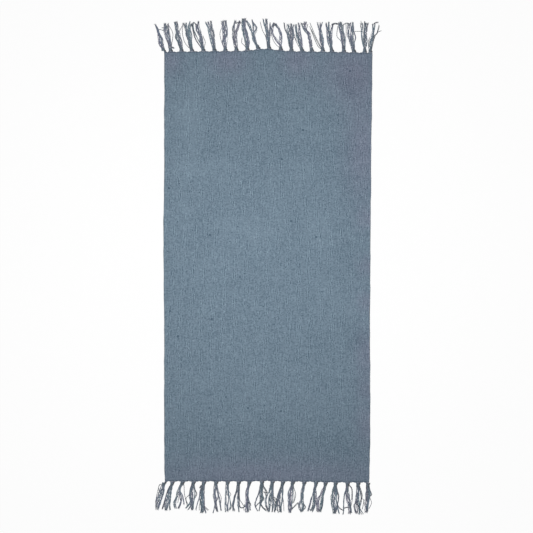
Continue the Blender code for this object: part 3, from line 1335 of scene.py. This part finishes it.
TOP_LOOSE = (
    Loose(1, -366, 50, -369, 76, -350, 74),
    Loose(2, -324, 30, -321, 65, -337, 96),
    Loose(2, -327, 14, -323, 17, -317, 13, 3),
    Loose(2, -345, 62, -350, 81, -358, 83),
    Loose(3, -304, 35, -312, 51, -305, 70, 2),
    Loose(3, -301, 55, -297, 72, -288, 90),
    Loose(4, -279, 30, -288, 62, -288, 92),
    Loose(5, -235, 29, -246, 50, -256, 90, 2),
    Loose(5, -232, 24, -243, 40, -252, 70),
    Loose(5, -213, 22, -211, 34, -219, 54),
    Loose(5, -257, 88, -250, 99, -242, 92, 2, False),
    Loose(7, -156, 36, -161, 62, -154, 82),
    Loose(8, -108, 95, -100, 98, -89, 96, 2, False),
    Loose(9, -79, 20, -87, 28, -86, 44),
    Loose(10, -49, 68, -50, 85, -53, 101),
    Loose(11, -6, 44, -17, 66, -24, 92),
    Loose(11, 9, 40, 13, 62, 9, 92),
    Loose(12, 26, 25, 15, 50, 9, 92),
    Loose(12, 19, 80, 26, 88, 34, 80, 2, False),
    Loose(13, 70, 52, 60, 76, 57, 97, 2),
    Loose(13, 84, 40, 92, 48, 98, 36),
    Loose(14, 104, 22, 95, 42, 91, 60),
    Loose(14, 117, 20, 118, 38, 113, 62),
    Loose(15, 112, 93, 117, 97, 124, 92, 1, False),
    Loose(15, 131, 74, 135, 84, 137, 93, 1, False),
    Loose(16, 178, 24, 163, 55, 145, 98),
    Loose(16, 172, 20, 158, 50, 144, 86),
    Loose(16, 176, 22, 166, 42, 150, 76),
    Loose(17, 219, 92, 229, 97, 240, 95, 3, False),
    Loose(18, 250, 38, 236, 56, 239, 90),
    Loose(18, 262, 38, 267, 60, 267, 94),
    Loose(18, 260, 96, 268, 99, 276, 98, 2, False),
    Loose(19, 294, 30, 300, 52, 293, 72),
    Loose(19, 295, 72, 306, 73, 320, 73, 1, False),
    Loose(20, 318, 80, 316, 93, 321, 101, 1, False),
    Loose(20, 322, 85, 321, 98, 317, 107, 1, False),
    Loose(21, 362, 55, 372, 68, 379, 94, 2),
    Loose(21, 365, 57, 375, 72, 386, 76),
    Loose(21, 361, 98, 367, 104, 376, 104, 2, False),
    Loose(21, 343, 25, 343, 42, 349, 56),
)
BOTTOM_LOOSE = (
    Loose(1, -367, 16, -376, 52, -379, 80),
    Loose(1, -366, 13, -369, 25, -366, 40),
    Loose(2, -338, 30, -348, 62, -357, 91),
    Loose(3, -283, 14, -281, 45, -272, 84),
    Loose(3, -296, 48, -295, 62, -291, 74),
    Loose(3, -303, 48, -302, 60, -304, 74, 1, False),
    Loose(4, -263, 42, -276, 60, -268, 82),
    Loose(4, -246, 28, -240, 45, -249, 60, 2),
    Loose(5, -232, 60, -238, 78, -243, 94),
    Loose(5, -228, 70, -231, 85, -231, 98),
    Loose(5, -214, 86, -207, 93, -201, 98, 2, False),
    Loose(5, -218, 12, -226, 17, -229, 24, 2, False),
    Loose(6, -166, 33, -157, 56, -159, 78),
    Loose(7, -131, 33, -124, 45, -132, 57),
    Loose(7, -133, 38, -136, 46, -129, 56),
    Loose(7, -126, 72, -121, 86, -127, 97, 1, False),
    Loose(8, -96, 74, -88, 91, -74, 84, 2),
    Loose(8, -94, 60, -87, 74, -80, 84),
    Loose(8, -111, 58, -117, 80, -118, 101),
    Loose(9, -66, 73, -60, 74, -57, 82, 2, False),
    Loose(9, -76, 78, -80, 88, -79, 101, 1, False),
    Loose(10, -17, 46, -12, 62, -22, 72, 2),
    Loose(10, -22, 72, -32, 79, -40, 87, 2, False),
    Loose(10, -14, 20, -7, 31, -1, 42, 3),
    Loose(10, -13, 37, -7, 42, -4, 52, 2, False),
    Loose(10, -23, 52, -25, 62, -20, 70, 1, False),
    Loose(10, -21, 82, -14, 92, -4, 99, 2, False),
    Loose(11, 19, 50, 27, 60, 31, 72, 2),
    Loose(11, 18, 54, 27, 76, 30, 100),
    Loose(11, 22, 60, 34, 80, 33, 102),
    Loose(11, 12, 82, 19, 92, 15, 104, 1, False),
    Loose(11, -6, 85, 1, 97, 9, 92, 2, False),
    Loose(12, 39, 35, 33, 52, 31, 80),
    Loose(12, 52, 48, 55, 74, 56, 100),
    Loose(12, 40, 55, 30, 72, 26, 96, 2),
    Loose(12, 30, 60, 36, 80, 43, 98, 1, False),
    Loose(13, 90, 24, 96, 48, 89, 74),
    Loose(13, 88, 34, 91, 58, 82, 82),
    Loose(14, 104, 72, 95, 82, 84, 93, 2, False),
    Loose(14, 121, 76, 129, 88, 120, 98, 2, False),
    Loose(15, 158, 52, 154, 72, 151, 90),
    Loose(15, 144, 84, 140, 90, 146, 96, 1, False),
    Loose(16, 190, 40, 190, 62, 187, 86),
    Loose(17, 238, 30, 243, 50, 237, 76),
    Loose(17, 236, 72, 243, 87, 257, 96, 2, False),
    Loose(18, 279, 13, 287, 26, 287, 60, 2),
    Loose(18, 287, 40, 287, 64, 283, 84, 1, False),
    Loose(18, 276, 84, 268, 86, 259, 89, 2, False),
    Loose(19, 314, 20, 321, 45, 316, 66, 2),
    Loose(19, 299, 68, 305, 76, 313, 86, 2, False),
    Loose(19, 318, 52, 327, 62, 322, 92),
    Loose(20, 347, 26, 353, 42, 345, 50, 2),
    Loose(20, 347, 48, 353, 70, 345, 90),
    Loose(20, 335, 55, 328, 62, 330, 80),
)


@dataclass
class Strand:
    """A yarn's middle line, with its half width and tone at each point.

    turn is where its plies start. hue goes from 0 for blue-green to 1 for violet, and warm from 0 to 1 for
    brown.
    """

    points: list[Vector]
    halves: list[float]
    tones: list[float]
    turn: float
    hue: float
    warm: float = 0.0
    closed: bool = False


class Hitch(NamedTuple):
    """A part of a knot: its place, its three half sizes, its height and its slant."""

    side: float
    out: float
    half_x: float
    half_out: float
    half_z: float
    height: float
    slant: float


def strand_lines(name: str, strands: Sequence[Strand]) -> bpy.types.Object:
    """Draws yarns as lines of edges.

    Args:
        name: The name of the lines' object.
        strands: The yarns.

    Returns:
        An object with the yarns' sizes, tones and runs stored on its points.
    """
    points: list[Vector] = []
    edges: list[tuple[int, int]] = []
    stored: dict[str, list[float]] = {"half": [], "tone": [], "turn": [], "hue": [], "warm": [], "run": []}
    for strand in strands:
        first = len(points)
        run = 0.0
        for place, point in enumerate(strand.points):
            if place:
                run += (point - strand.points[place - 1]).length
                edges.append((first + place - 1, first + place))
            stored["run"].append(run)
        count = len(strand.points)
        if strand.closed:
            edges.append((first + count - 1, first))
        points += strand.points
        stored["half"] += strand.halves
        stored["tone"] += strand.tones
        stored["turn"] += [strand.turn] * count
        stored["hue"] += [strand.hue] * count
        stored["warm"] += [strand.warm] * count
    mesh = bpy.data.meshes.new(name)
    mesh.from_pydata(points, edges, [])
    for label, values in stored.items():
        point_values(mesh, label, values)
    return linked(name, mesh)


@dataclass(frozen=True)
class Spinner:
    """Spins a two-ply yarn along every line."""

    step: float = 0.0025
    ply_pitch: float = 0.015
    waist: float = 0.32
    sides: int = 6
    crimp: float = 0.0007
    crimp_scale: float = 90.0
    seed: float = 11.0

    def tree(self, finish: bpy.types.Material) -> GeometryGraph:
        """Writes the tree.

        Args:
            finish: The yarns' material.

        Returns:
            The tree, which takes lines with half, tone, turn and run on their points.
        """
        graph = GeometryGraph("spin_yarn")
        step = graph.named("Step", self.step)
        pitch = graph.named("Ply Pitch", self.ply_pitch)
        waist = graph.named("Waist", self.waist)
        sides = graph.named("Sides", self.sides, "NodeSocketInt")
        crimp = graph.named("Crimp", self.crimp)
        crimp_scale = graph.named("Crimp Scale", self.crimp_scale)
        seed = graph.named("Seed", self.seed)
        half = graph.attribute("half")
        turn = graph.attribute("turn")

        lines = graph.out("GeometryNodeMeshToCurve", {"Mesh": graph.geometry})
        curve = graph.out("GeometryNodeCurveSplineType", {"Curve": lines}, {"spline_type": "CATMULL_ROM"})
        even = graph.out("GeometryNodeResampleCurve", {"Curve": curve, "Length": step}, {"mode": "LENGTH"})
        x, y, z = graph.parts(graph.out("GeometryNodeInputPosition"))
        inputs = {"Vector": graph.vector(x + turn * seed, y + turn * seed, z)}
        inputs |= {"Scale": crimp_scale, "Detail": 1.0}
        wander = graph.node("ShaderNodeTexNoise", inputs=inputs)
        off_x, off_y, off_z = graph.parts(wander.outputs[1])
        bent = graph.vector(
            x + crimp * (off_x - 0.5),
            y + crimp * (off_y - 0.5),
            (z + crimp * (off_z - 0.5)).at_least(half),
        )
        crimped = graph.out("GeometryNodeSetPosition", {"Geometry": even, "Position": bent})
        tilt = graph.attribute("run") * math.tau / pitch + turn
        tilted = graph.out("GeometryNodeSetCurveTilt", {"Curve": crimped, "Tilt": tilt})

        ring = graph.out("GeometryNodeCurvePrimitiveCircle", {"Resolution": sides, "Radius": 1.0})
        ring_x, ring_y, _ = graph.parts(graph.out("GeometryNodeInputPosition"))
        narrow = 1.0 - waist * ring_y * ring_y
        waisted = graph.vector(ring_x * narrow, ring_y * narrow, 0.0)
        section = graph.out("GeometryNodeSetPosition", {"Geometry": ring, "Position": waisted})
        inputs = {"Curve": tilted, "Profile Curve": section, "Scale": half, "Fill Caps": True}
        graph.close(graph.out("GeometryNodeCurveToMesh", inputs), finish)
        return graph

    def spun(self, name: str, strands: Sequence[Strand], finish: bpy.types.Material) -> bpy.types.Object:
        """Makes a piece of yarns.

        Args:
            name: The piece's name.
            strands: Its yarns.
            finish: Its material.

        Returns:
            The piece.
        """
        return self.tree(finish).grown(name, strand_lines(name + "_lines", strands))


class Waist(NamedTuple):
    """A place in a tassel's neck: how far out it is, and its share of the neck's full width."""

    out: float
    share: float


@dataclass(frozen=True)
class Fray:
    """The two fibres at a yarn's cut tip."""

    half: float = 0.00028
    taper: float = 0.6
    root: float = 0.002
    long: tuple[float, float] = (0.0015, 0.0040)
    spread: tuple[float, float] = (0.00064, 0.00256)
    bend: float = 0.375


@dataclass
class Fringe:
    """One end's fringe: the warps that leave the cloth, their knots, and the tassels beyond.

    A pair is the least and the most that a random draw gives, but for tip_shades, which darken a yarn's last
    two points. Tones go from 0 for dark to 1 for light, and hues from 0 for blue-green to 1 for violet. What
    ends in _half is half of a width.
    """

    end: End
    outline: Outline
    tassels: tuple[Tassel, ...]
    loose: tuple[Loose, ...]
    fullness: float = 1.32
    stretch: float = 1.0
    seed: int = 5
    warps: int = 250
    half: float = 0.00110
    thickness: tuple[float, float] = (0.90, 1.12)
    root_depth: float = 0.003
    root_height: float = 0.0020
    edge_run: tuple[float, float] = (0.0001, 0.0008)
    gather: float = 0.4
    root_swell: float = 1.25
    neck_half: float = 0.0092
    neck_line: tuple[Waist, ...] = (Waist(0.0010, 0.86), Waist(0.0030, 0.68), Waist(0.0060, 0.60))
    neck_lean: float = 0.8
    neck_fill: float = 0.85
    neck_tone: tuple[float, float] = (0.44, 0.74)
    neck_hue: tuple[float, float] = (0.2, 0.7)
    neck_warm: float = 0.1
    knot_out: float = 0.0095
    knot_height: float = 0.0034
    knot_half: float = 0.0056
    knot_tone: tuple[float, float] = (0.36, 0.66)
    # The knob's near-black tone is painted shade along the right of each neck.
    knob_tone: tuple[float, float] = (0.06, 0.20)
    band: Hitch = Hitch(0.0, 0.0095, 0.0053, 0.0034, 0.0028, 0.0034, 0.35)
    band_turns: tuple[float, ...] = (-1.0, -0.5, 0.0, 0.5, 1.0)
    knob: Hitch = Hitch(0.0050, 0.0060, 0.0026, 0.0024, 0.0026, 0.0040, -0.8)
    knob_turns: tuple[float, ...] = (-0.8, 0.0, 0.8)
    ring_points: int = 12
    ring_round: float = 0.4
    ring_slant: tuple[float, float] = (0.7, 1.3)
    ring_hue: float = 0.5
    lock_points: int = 11
    lock_shares: tuple[float, ...] = (0.0, 0.30, 0.55, 0.80, 1.0)
    lock_spread: float = 0.5
    lock_start: float = 0.8
    lock_swell: float = 1.02
    lock_drop: float = 0.22
    lock_tone: tuple[float, float] = (-0.06, 0.06)
    lock_hue: tuple[float, float] = (0.05, 0.80)
    yarn_room: float = 0.00142
    yarn_radii: tuple[float, ...] = (1.0, 0.5, 0.9)
    yarn_tone: tuple[float, float] = (0.40, 1.0)
    yarn_hue: float = 0.25
    yarn_warm: tuple[float, float] = (0.0, 0.4)
    yarn_shift: float = 0.3
    yarn_low: float = 0.9
    yarn_rise: float = 0.6
    yarn_least: float = 0.3
    twist: tuple[float, float] = (0.30, 0.90)
    wave: tuple[float, float] = (1.0, 2.8)
    wave_turn: float = 1.1
    ragged: float = 0.035
    wisps: int = 1
    wisp_reach: float = 1.4
    wisp_thin: float = 0.7
    stray_half: float = 0.00125
    stray_side: float = 0.6
    stray_lift: float = 1.5
    stray_pitch: float = 1.8
    stray_wander: float = 0.0008
    stray_tone: tuple[float, float] = (0.08, 0.40)
    stray_hue: tuple[float, float] = (0.0, 0.9)
    # knot_shade and tip_shades are painted shade: near the knot, and at the cut tip together with its open
    # fibres.
    knot_shade: float = 0.80
    tip_shades: tuple[float, float] = (0.88, 0.62)
    shade_share: float = 0.3
    fray: Fray = Fray()
    knot_spinner: Spinner = Spinner(step=0.0014, crimp=0.0003)
    tail_spinner: Spinner = Spinner()

    def __post_init__(self) -> None:
        """Starts this end's own run of random numbers."""
        self.rng = random.Random(self.seed)

    @property
    def name(self) -> str:
        """Returns the name that this end's pieces start with."""
        return "fringe_" + self.end.name.lower()

    def line(self, x: float) -> float:
        """Returns where the cloth ends at x."""
        return self.outline.end_line(self.end, x)

    def beyond(self, tassel: Tassel, x: float, out: float, z: float) -> Vector:
        """Returns the place at x, out from where the tassel leaves the cloth, at height z."""
        return Vector((x, self.line(tassel.at * MM) + self.end.value * out, z))

    def centre(self, tassel: Tassel, out: float) -> float:
        """Returns the sideways place of a tassel's neck at a distance out from the cloth."""
        main = max(tassel.locks, key=lambda lock: lock.mid)
        lean = (main.x_30 - tassel.at) / (self.lock_shares[1] * main.long)
        return (tassel.at + self.neck_lean * lean * out / MM) * MM

    def turn(self) -> float:
        """Returns a random angle."""
        return self.rng.uniform(0.0, math.tau)

    def warp_places(self) -> list[list[float]]:
        """Shares out the cloth's warps.

        Returns:
            For each tassel, the x of every warp that is nearest to it.
        """
        edge_y = self.line(0.0)
        left = self.outline.left_edge(edge_y)
        pitch = (self.outline.right_edge(edge_y) - left) / self.warps
        shared: list[list[float]] = [[] for _ in self.tassels]
        for warp in range(self.warps):
            x = left + (warp + 0.5) * pitch
            nearest = min(range(len(self.tassels)), key=lambda i: abs(self.tassels[i].at * MM - x))
            shared[nearest].append(x)
        return shared

    def neck(self, tassel: Tassel, x: float, across: float) -> Strand:
        """Leads a warp from inside the cloth's edge to the middle of its knot.

        Args:
            tassel: The tassel that it goes to.
            x: Where it leaves the cloth.
            across: Its place in the neck, from -1 to 1.

        Returns:
            The warp.
        """
        way = self.end.value
        y = self.line(x)
        low = self.root_height
        reach = x - tassel.at * MM
        near = math.copysign(min(abs(reach), self.neck_half), reach)
        points = [
            Vector((x, y - way * self.root_depth, low)),
            Vector((x, y - way * self.half, low)),
            Vector((x - self.gather * (reach - near), y + way * self.rng.uniform(*self.edge_run), low)),
        ]
        for waist in self.neck_line:
            side = self.centre(tassel, waist.out) + waist.share * near
            rise = low + (self.knot_height - low) * waist.out / self.knot_out
            points.append(self.beyond(tassel, side, waist.out, rise + self.half * self.rng.random()))
        root = self.centre(tassel, self.knot_out) + self.neck_fill * across * self.knot_half
        points.append(self.beyond(tassel, root, self.knot_out, self.knot_height))
        count = len(points)
        halves = [self.root_swell * self.half] * (count - 2) + [self.half] * 2
        tones = [self.rng.uniform(*self.neck_tone)] * count
        turn = self.turn()
        return Strand(points, halves, tones, turn, self.rng.uniform(*self.neck_hue), self.neck_warm)

    def ring(self, tassel: Tassel, hitch: Hitch, along: float, tones: tuple[float, float]) -> Strand:
        """Winds one turn of a knot.

        Args:
            tassel: The tassel whose knot it is.
            hitch: The size and place of this part of the knot.
            along: Where the turn lies on it, from -1 to 1.
            tones: The darkest and the lightest that it may be.

        Returns:
            The turn, as a closed yarn.
        """
        girth = math.sqrt(1.0 - self.ring_round * along * along)
        slant = hitch.slant * self.rng.uniform(*self.ring_slant)
        middle_x = self.centre(tassel, hitch.out) + hitch.side
        points = []
        for step in range(self.ring_points):
            angle = math.tau * step / self.ring_points
            x = hitch.half_x * girth * math.cos(angle)
            z = hitch.height + hitch.half_z * girth * math.sin(angle)
            out = hitch.out + hitch.half_out * along + slant * x
            points.append(self.beyond(tassel, middle_x + x, out, max(z, self.half)))
        tone = self.rng.uniform(*tones)
        warm = 1.0 - tone
        hue = self.ring_hue * warm
        count = self.ring_points
        return Strand(points, [self.half] * count, [tone] * count, self.turn(), hue, warm * warm, True)

    def wraps(self, tassel: Tassel) -> list[Strand]:
        """Returns the turns of a knot: a band round the neck, and the hitch's knob to the right of it."""
        turns = [self.ring(tassel, self.band, along, self.knot_tone) for along in self.band_turns]
        # The knob's turns are tinted near black, as painted shade along the right of the neck.
        return turns + [self.ring(tassel, self.knob, along, self.knob_tone) for along in self.knob_turns]

    def lock(self, tassel: Tassel, lock: Lock, order: int) -> list[Strand]:
        """Lays the yarns of a lock, loosely twisted round its middle line, with a few wisps outside them.

        Args:
            tassel: The tassel that it is in.
            lock: The lock.
            order: Its place among the tassel's locks.

        Returns:
            The yarns.
        """
        rng = self.rng
        spread = (2.0 * order + 1.0) / len(tassel.locks) - 1.0
        start = self.centre(tassel, self.knot_out) + self.lock_spread * spread * self.knot_half
        shares = self.lock_shares
        middles = (start, lock.x_30 * MM, lock.x_55 * MM, lock.x_80 * MM, lock.x_tip * MM)
        mid = 0.5 * self.fullness * lock.mid * MM
        end = 0.5 * self.fullness * lock.end * MM
        first_width = self.lock_start * self.knot_half
        widths = (first_width, self.lock_swell * mid, mid, 0.5 * (mid + end), end)
        count = max(round(2.0 * mid / self.yarn_room), 3)
        twist = rng.choice((-1.0, 1.0)) * rng.uniform(*self.twist)
        lock_tone = rng.uniform(*self.lock_tone)
        lock_hue = rng.uniform(*self.lock_hue)
        made = []
        for place in range(count + self.wisps):
            wisp = place >= count
            radius = self.wisp_reach if wisp else self.yarn_radii[place % len(self.yarn_radii)]
            first = math.tau * (place + rng.uniform(-self.yarn_shift, self.yarn_shift)) / count
            waves = rng.uniform(*self.wave)
            phase = self.turn()
            long = lock.long * MM * (self.stretch - self.ragged * rng.random())
            points = []
            for step in range(self.lock_points):
                share = step / (self.lock_points - 1)
                bend = self.wave_turn * math.sin(math.tau * waves * share + phase)
                angle = first + math.tau * twist * share + bend
                room = max(flow(shares, widths, share) - self.half, self.yarn_least * self.half)
                reach = 1.0 + (radius - 1.0) * smooth(share / shares[1])
                x = flow(shares, middles, share) + reach * room * math.cos(angle)
                out = self.knot_out + (long - self.knot_out) * share
                depth = min(room, self.yarn_low * self.half)
                rest = self.half + depth * (1.0 + min(reach, 1.0) * math.sin(angle))
                knot = self.knot_height + self.yarn_rise * self.half * math.sin(angle)
                z = rest + (knot - rest) * (1.0 - smooth(share / self.lock_drop))
                points.append(self.beyond(tassel, x, out, z))
            tone = rng.uniform(*self.yarn_tone) + lock_tone
            half = self.wisp_thin * self.half if wisp else self.half
            made.append(self.dressed(points, half, tone, lock_hue + rng.gauss(0.0, self.yarn_hue)))
        return made

    def stray(self, loose: Loose) -> list[Strand]:
        """Lays loose yarns side by side from their knot through their three places.

        Args:
            loose: The yarns' row of the table.

        Returns:
            The yarns.
        """
        tassel = self.tassels[loose.tassel - 1]
        stops = ((loose.x_near, loose.out_near), (loose.x_mid, loose.out_mid), (loose.x_tip, loose.out_tip))
        places = [Vector((x * MM, out * MM, self.stray_half)) for x, out in stops]
        if loose.rooted:
            start = self.centre(tassel, self.knot_out)
            side = math.copysign(self.stray_side * self.knot_half, places[0].x - start)
            places.insert(0, Vector((start + side, self.knot_out, self.knot_height)))
        else:
            for place in places:
                place.z += self.stray_lift * self.half
        made = []
        for strand in range(loose.strands):
            beside = self.stray_pitch * (strand - 0.5 * (loose.strands - 1)) * self.stray_half
            points = []
            for place, ahead, behind in zip(places, places[1:] + places[-1:], places[:1] + places[:-1]):
                way = (ahead - behind).normalized()
                wander = self.rng.uniform(-self.stray_wander, self.stray_wander)
                x = place.x - beside * way.y
                out = place.y + beside * way.x + wander
                points.append(self.beyond(tassel, x, out, place.z))
            tone = self.rng.uniform(*self.stray_tone)
            hue = self.rng.uniform(*self.stray_hue)
            made.append(self.dressed(points, self.stray_half, tone, hue))
        return made

    def dressed(self, points: list[Vector], half: float, tone: float, hue: float) -> Strand:
        """Gives a yarn its widths and tones.

        Args:
            points: Its middle line, from the knot to the tip.
            half: Half of its width.
            tone: Its tone, from 0 for dark to 1 for light.
            hue: Its hue, from 0 for blue-green to 1 for violet.

        Returns:
            The yarn, darker at its knot and at its cut tip.
        """
        last = len(points) - 1
        thick = half * self.rng.uniform(*self.thickness)
        warm = self.rng.uniform(*self.yarn_warm)
        # Painted shade: the yarn darkens towards its knot, where the yarns crowd, and at its cut tip, partly
        # painted shade and partly its open fibres.
        lift = 1.0 - self.knot_shade
        grown = [smooth(place / (self.shade_share * last)) for place in range(last + 1)]
        shades = [self.knot_shade + lift * share for share in grown]
        shades[last - 1] *= self.tip_shades[0]
        shades[last] *= self.tip_shades[1]
        tones = [tone * shade for shade in shades]
        halves = [thick] * (last + 1)
        return Strand(points, halves, tones, self.turn(), min(max(hue, 0.0), 1.0), warm)

    def frays(self, strand: Strand) -> list[Strand]:
        """Frays a yarn's tip into fine fibres.

        Args:
            strand: The yarn.

        Returns:
            The fibres.
        """
        tip = strand.points[-1]
        way = (tip - strand.points[-2]).normalized()
        side = Vector((-way.y, way.x, 0.0))
        fray = self.fray
        made = []
        for sign in (-1.0, 1.0):
            spread = sign * self.rng.uniform(*fray.spread)
            long = self.rng.uniform(*fray.long)
            points = [
                tip - way * fray.root,
                tip + way * 0.5 * long + side * fray.bend * spread,
                tip + way * long + side * spread,
            ]
            for point in points:
                point.z = max(point.z, fray.half)
            halves = [fray.half, fray.half, fray.taper * fray.half]
            tones = [strand.tones[-1]] * len(points)
            made.append(Strand(points, halves, tones, strand.turn, strand.hue, strand.warm))
        return made

    def knots(self) -> list[Strand]:
        """Returns the warps' necks and the turns of every knot."""
        made = []
        for tassel, places in zip(self.tassels, self.warp_places()):
            for order, x in enumerate(places):
                across = (2.0 * order + 1.0) / len(places) - 1.0
                made.append(self.neck(tassel, x, across))
            made += self.wraps(tassel)
        return made

    def tails(self, half: Half) -> list[Strand]:
        """Lays every yarn beyond the knots of one half, with its frayed tip.

        Args:
            half: Which half of the fringe.

        Returns:
            The yarns and their fibres.
        """
        made = []
        for tassel in self.tassels:
            if half.holds(tassel.at):
                for order, lock in enumerate(tassel.locks):
                    made += self.lock(tassel, lock, order)
        for loose in self.loose:
            if half.holds(self.tassels[loose.tassel - 1].at):
                made += self.stray(loose)
        frayed = [fibre for strand in made for fibre in self.frays(strand)]
        return made + frayed

    def build(self, finish: bpy.types.Material) -> list[bpy.types.Object]:
        """Makes this end's pieces.

        Args:
            finish: The yarn's material.

        Returns:
            The knots, then the tassels of the left half and those of the right half.
        """
        made = [self.knot_spinner.spun(self.name + "_knots", self.knots(), finish)]
        for half in Half:
            name = self.name + "_yarns_" + half.name.lower()
            made.append(self.tail_spinner.spun(name, self.tails(half), finish))
        return made


class Stop(NamedTuple):
    """A point of a turn of the weft, by how many times four sizes count there.

    inside and out are how far the turn goes into the cloth and past its edge. top is the height of the cloth,
    and half is the weft's half width.
    """

    inside: float
    out: float
    top: float
    half: float


@dataclass
class Selvedges:
    """The weft's turns round the outermost warp, down both sides of the cloth."""

    outline: Outline
    pitch: float = 0.0030
    half: float = 0.0009
    inside: float = 0.0036
    proud: float = 0.0011
    uneven: tuple[float, float] = (-0.0002, 0.0003)
    slant: float = 0.0008
    slant_range: tuple[float, float] = (0.6, 1.4)
    tone: tuple[float, float] = (0.38, 0.78)
    violet_range: float = 0.2
    warm: float = 0.1
    route: tuple[Stop, ...] = (
        Stop(1.0, 0.0, 1.0, -1.3),
        Stop(0.5, 0.0, 1.0, -0.5),
        Stop(0.0, 0.5, 0.78, 0.0),
        Stop(0.0, 1.0, 0.5, 0.0),
        Stop(0.0, 0.5, 0.0, 1.1),
        Stop(0.6, 0.0, 0.0, 1.1),
    )
    spinner: Spinner = Spinner(step=0.0016, crimp=0.0002)
    seed: int = 9

    def __post_init__(self) -> None:
        """Starts the selvedges' own run of random numbers."""
        self.rng = random.Random(self.seed)

    def bend(self, y: float, side: float) -> Strand:
        """Lays one turn of the weft, out over the edge and back below it.

        Args:
            y: Where it lies along the cloth.
            side: Which way is out, -1 or 1.

        Returns:
            The turn.
        """
        outline = self.outline
        edge = outline.right_edge(y) if side > 0.0 else outline.left_edge(y)
        out = self.proud - self.half + self.rng.uniform(*self.uneven)
        top = outline.height(edge, y)
        lean = self.slant * self.rng.uniform(*self.slant_range)
        count = len(self.route)
        points = []
        for place, stop in enumerate(self.route):
            reach = stop.out * out - stop.inside * self.inside
            along = lean * (place / (count - 1) - 0.5)
            points.append(Vector((edge + side * reach, y + along, stop.top * top + stop.half * self.half)))
        tones = [self.rng.uniform(*self.tone)] * count
        violet = min(patched(VIOLET_PATCHES, edge, y) + self.violet_range * self.rng.random(), 1.0)
        turn = self.rng.uniform(0.0, math.tau)
        return Strand(points, [self.half] * count, tones, turn, violet, self.warm)

    def build(self, finish: bpy.types.Material) -> bpy.types.Object:
        """Makes the turns of both sides.

        Args:
            finish: The yarn's material.

        Returns:
            The piece.
        """
        bends = []
        for side in (-1.0, 1.0):
            x = self.outline.right if side > 0.0 else self.outline.left
            low = self.outline.end_line(End.BOTTOM, x) + self.pitch
            high = self.outline.end_line(End.TOP, x) - self.pitch
            count = round((high - low) / self.pitch)
            for place in range(count + 1):
                bends.append(self.bend(low + (high - low) * place / count, side))
        return self.spinner.spun("rug_selvedges", bends, finish)


@dataclass(frozen=True)
class Studio:
    """The floor, the light and the camera."""

    floor_half: float = 6.0
    camera_height: float = 4.0
    shown: float = 1.807
    aim: tuple[float, float] = (-0.003, -0.001)
    sensor: float = 36.0
    lamp_at: tuple[float, float, float] = (-0.06, 0.09, 1.65)
    lamp_side: float = 0.9
    lamp_power: float = 25.0
    sky: float = 0.22
    floor_finish: StudioWhite = field(default_factory=StudioWhite)

    def floor(self) -> bpy.types.Object:
        """Returns the floor, under the rug."""
        half = self.floor_half
        mesh = bpy.data.meshes.new("studio_floor")
        corners = [(-half, -half, 0.0), (half, -half, 0.0), (half, half, 0.0), (-half, half, 0.0)]
        mesh.from_pydata(corners, [], [(0, 1, 2, 3)])
        mesh.materials.append(self.floor_finish.made())
        return linked("studio_floor", mesh)

    def lamp(self) -> bpy.types.Object:
        """Returns the soft lamp over the rug, which the camera looks through."""
        light = bpy.data.lights.new("soft_lamp", "AREA")
        light.shape = "DISK"
        light.size = self.lamp_side
        light.energy = self.lamp_power
        made = linked("soft_lamp", light)
        made.location = self.lamp_at
        made.visible_camera = False
        return made

    def sky_light(self) -> None:
        """Sets an even white light from all round."""
        world = bpy.data.worlds.new("studio")
        world.use_nodes = True
        backdrop = world.node_tree.nodes["Background"]
        backdrop.inputs["Color"].default_value = (1.0, 1.0, 1.0, 1.0)
        backdrop.inputs["Strength"].default_value = self.sky
        bpy.context.scene.world = world

    def camera(self, plane: float) -> bpy.types.Object:
        """Hangs the camera straight over the rug.

        Args:
            plane: The height at which the picture spans the shown width.

        Returns:
            The camera.
        """
        data = bpy.data.cameras.new("overhead")
        data.sensor_width = self.sensor
        data.lens = self.sensor * (self.camera_height - plane) / self.shown
        made = linked("overhead", data)
        made.location = (*self.aim, self.camera_height)
        bpy.context.scene.camera = made
        return made


def write_sizes() -> None:
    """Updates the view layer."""
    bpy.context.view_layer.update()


def main() -> None:
    """Builds the rug and its studio, and says what each piece is and rides on."""
    logging.basicConfig(level=logging.INFO, format="%(name)s: %(message)s")
    outline = Outline.of_frame("woven_field", FRINGE_STRIP)
    studio = Studio()
    floor = studio.floor()
    studio.lamp()
    studio.sky_light()
    studio.camera(outline.thick)

    cloth = Cloth(outline).build()
    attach(cloth, BODY)
    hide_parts("woven_field")

    yarn = LooseCotton().made()
    selvedges = Selvedges(outline).build(yarn)
    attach(selvedges, BODY)
    ends = (
        Fringe(End.TOP, outline, TOP_TASSELS, TOP_LOOSE, fullness=1.48, stretch=1.005),
        Fringe(End.BOTTOM, outline, BOTTOM_TASSELS, BOTTOM_LOOSE, fullness=1.30, stretch=1.03, seed=6),
    )
    fringes = []
    for fringe in ends:
        made = fringe.build(yarn)
        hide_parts(fringe.name)
        fringes += made
    for piece in fringes:
        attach(piece, BODY)

    for piece in (cloth, selvedges, *fringes):
        LOG.info("%s: %d faces, on %s", piece.name, len(piece.data.polygons), BODY)
    bpy.context.scene.view_settings.view_transform = "Standard"
    write_sizes()


if __name__ == "__main__":
    main()
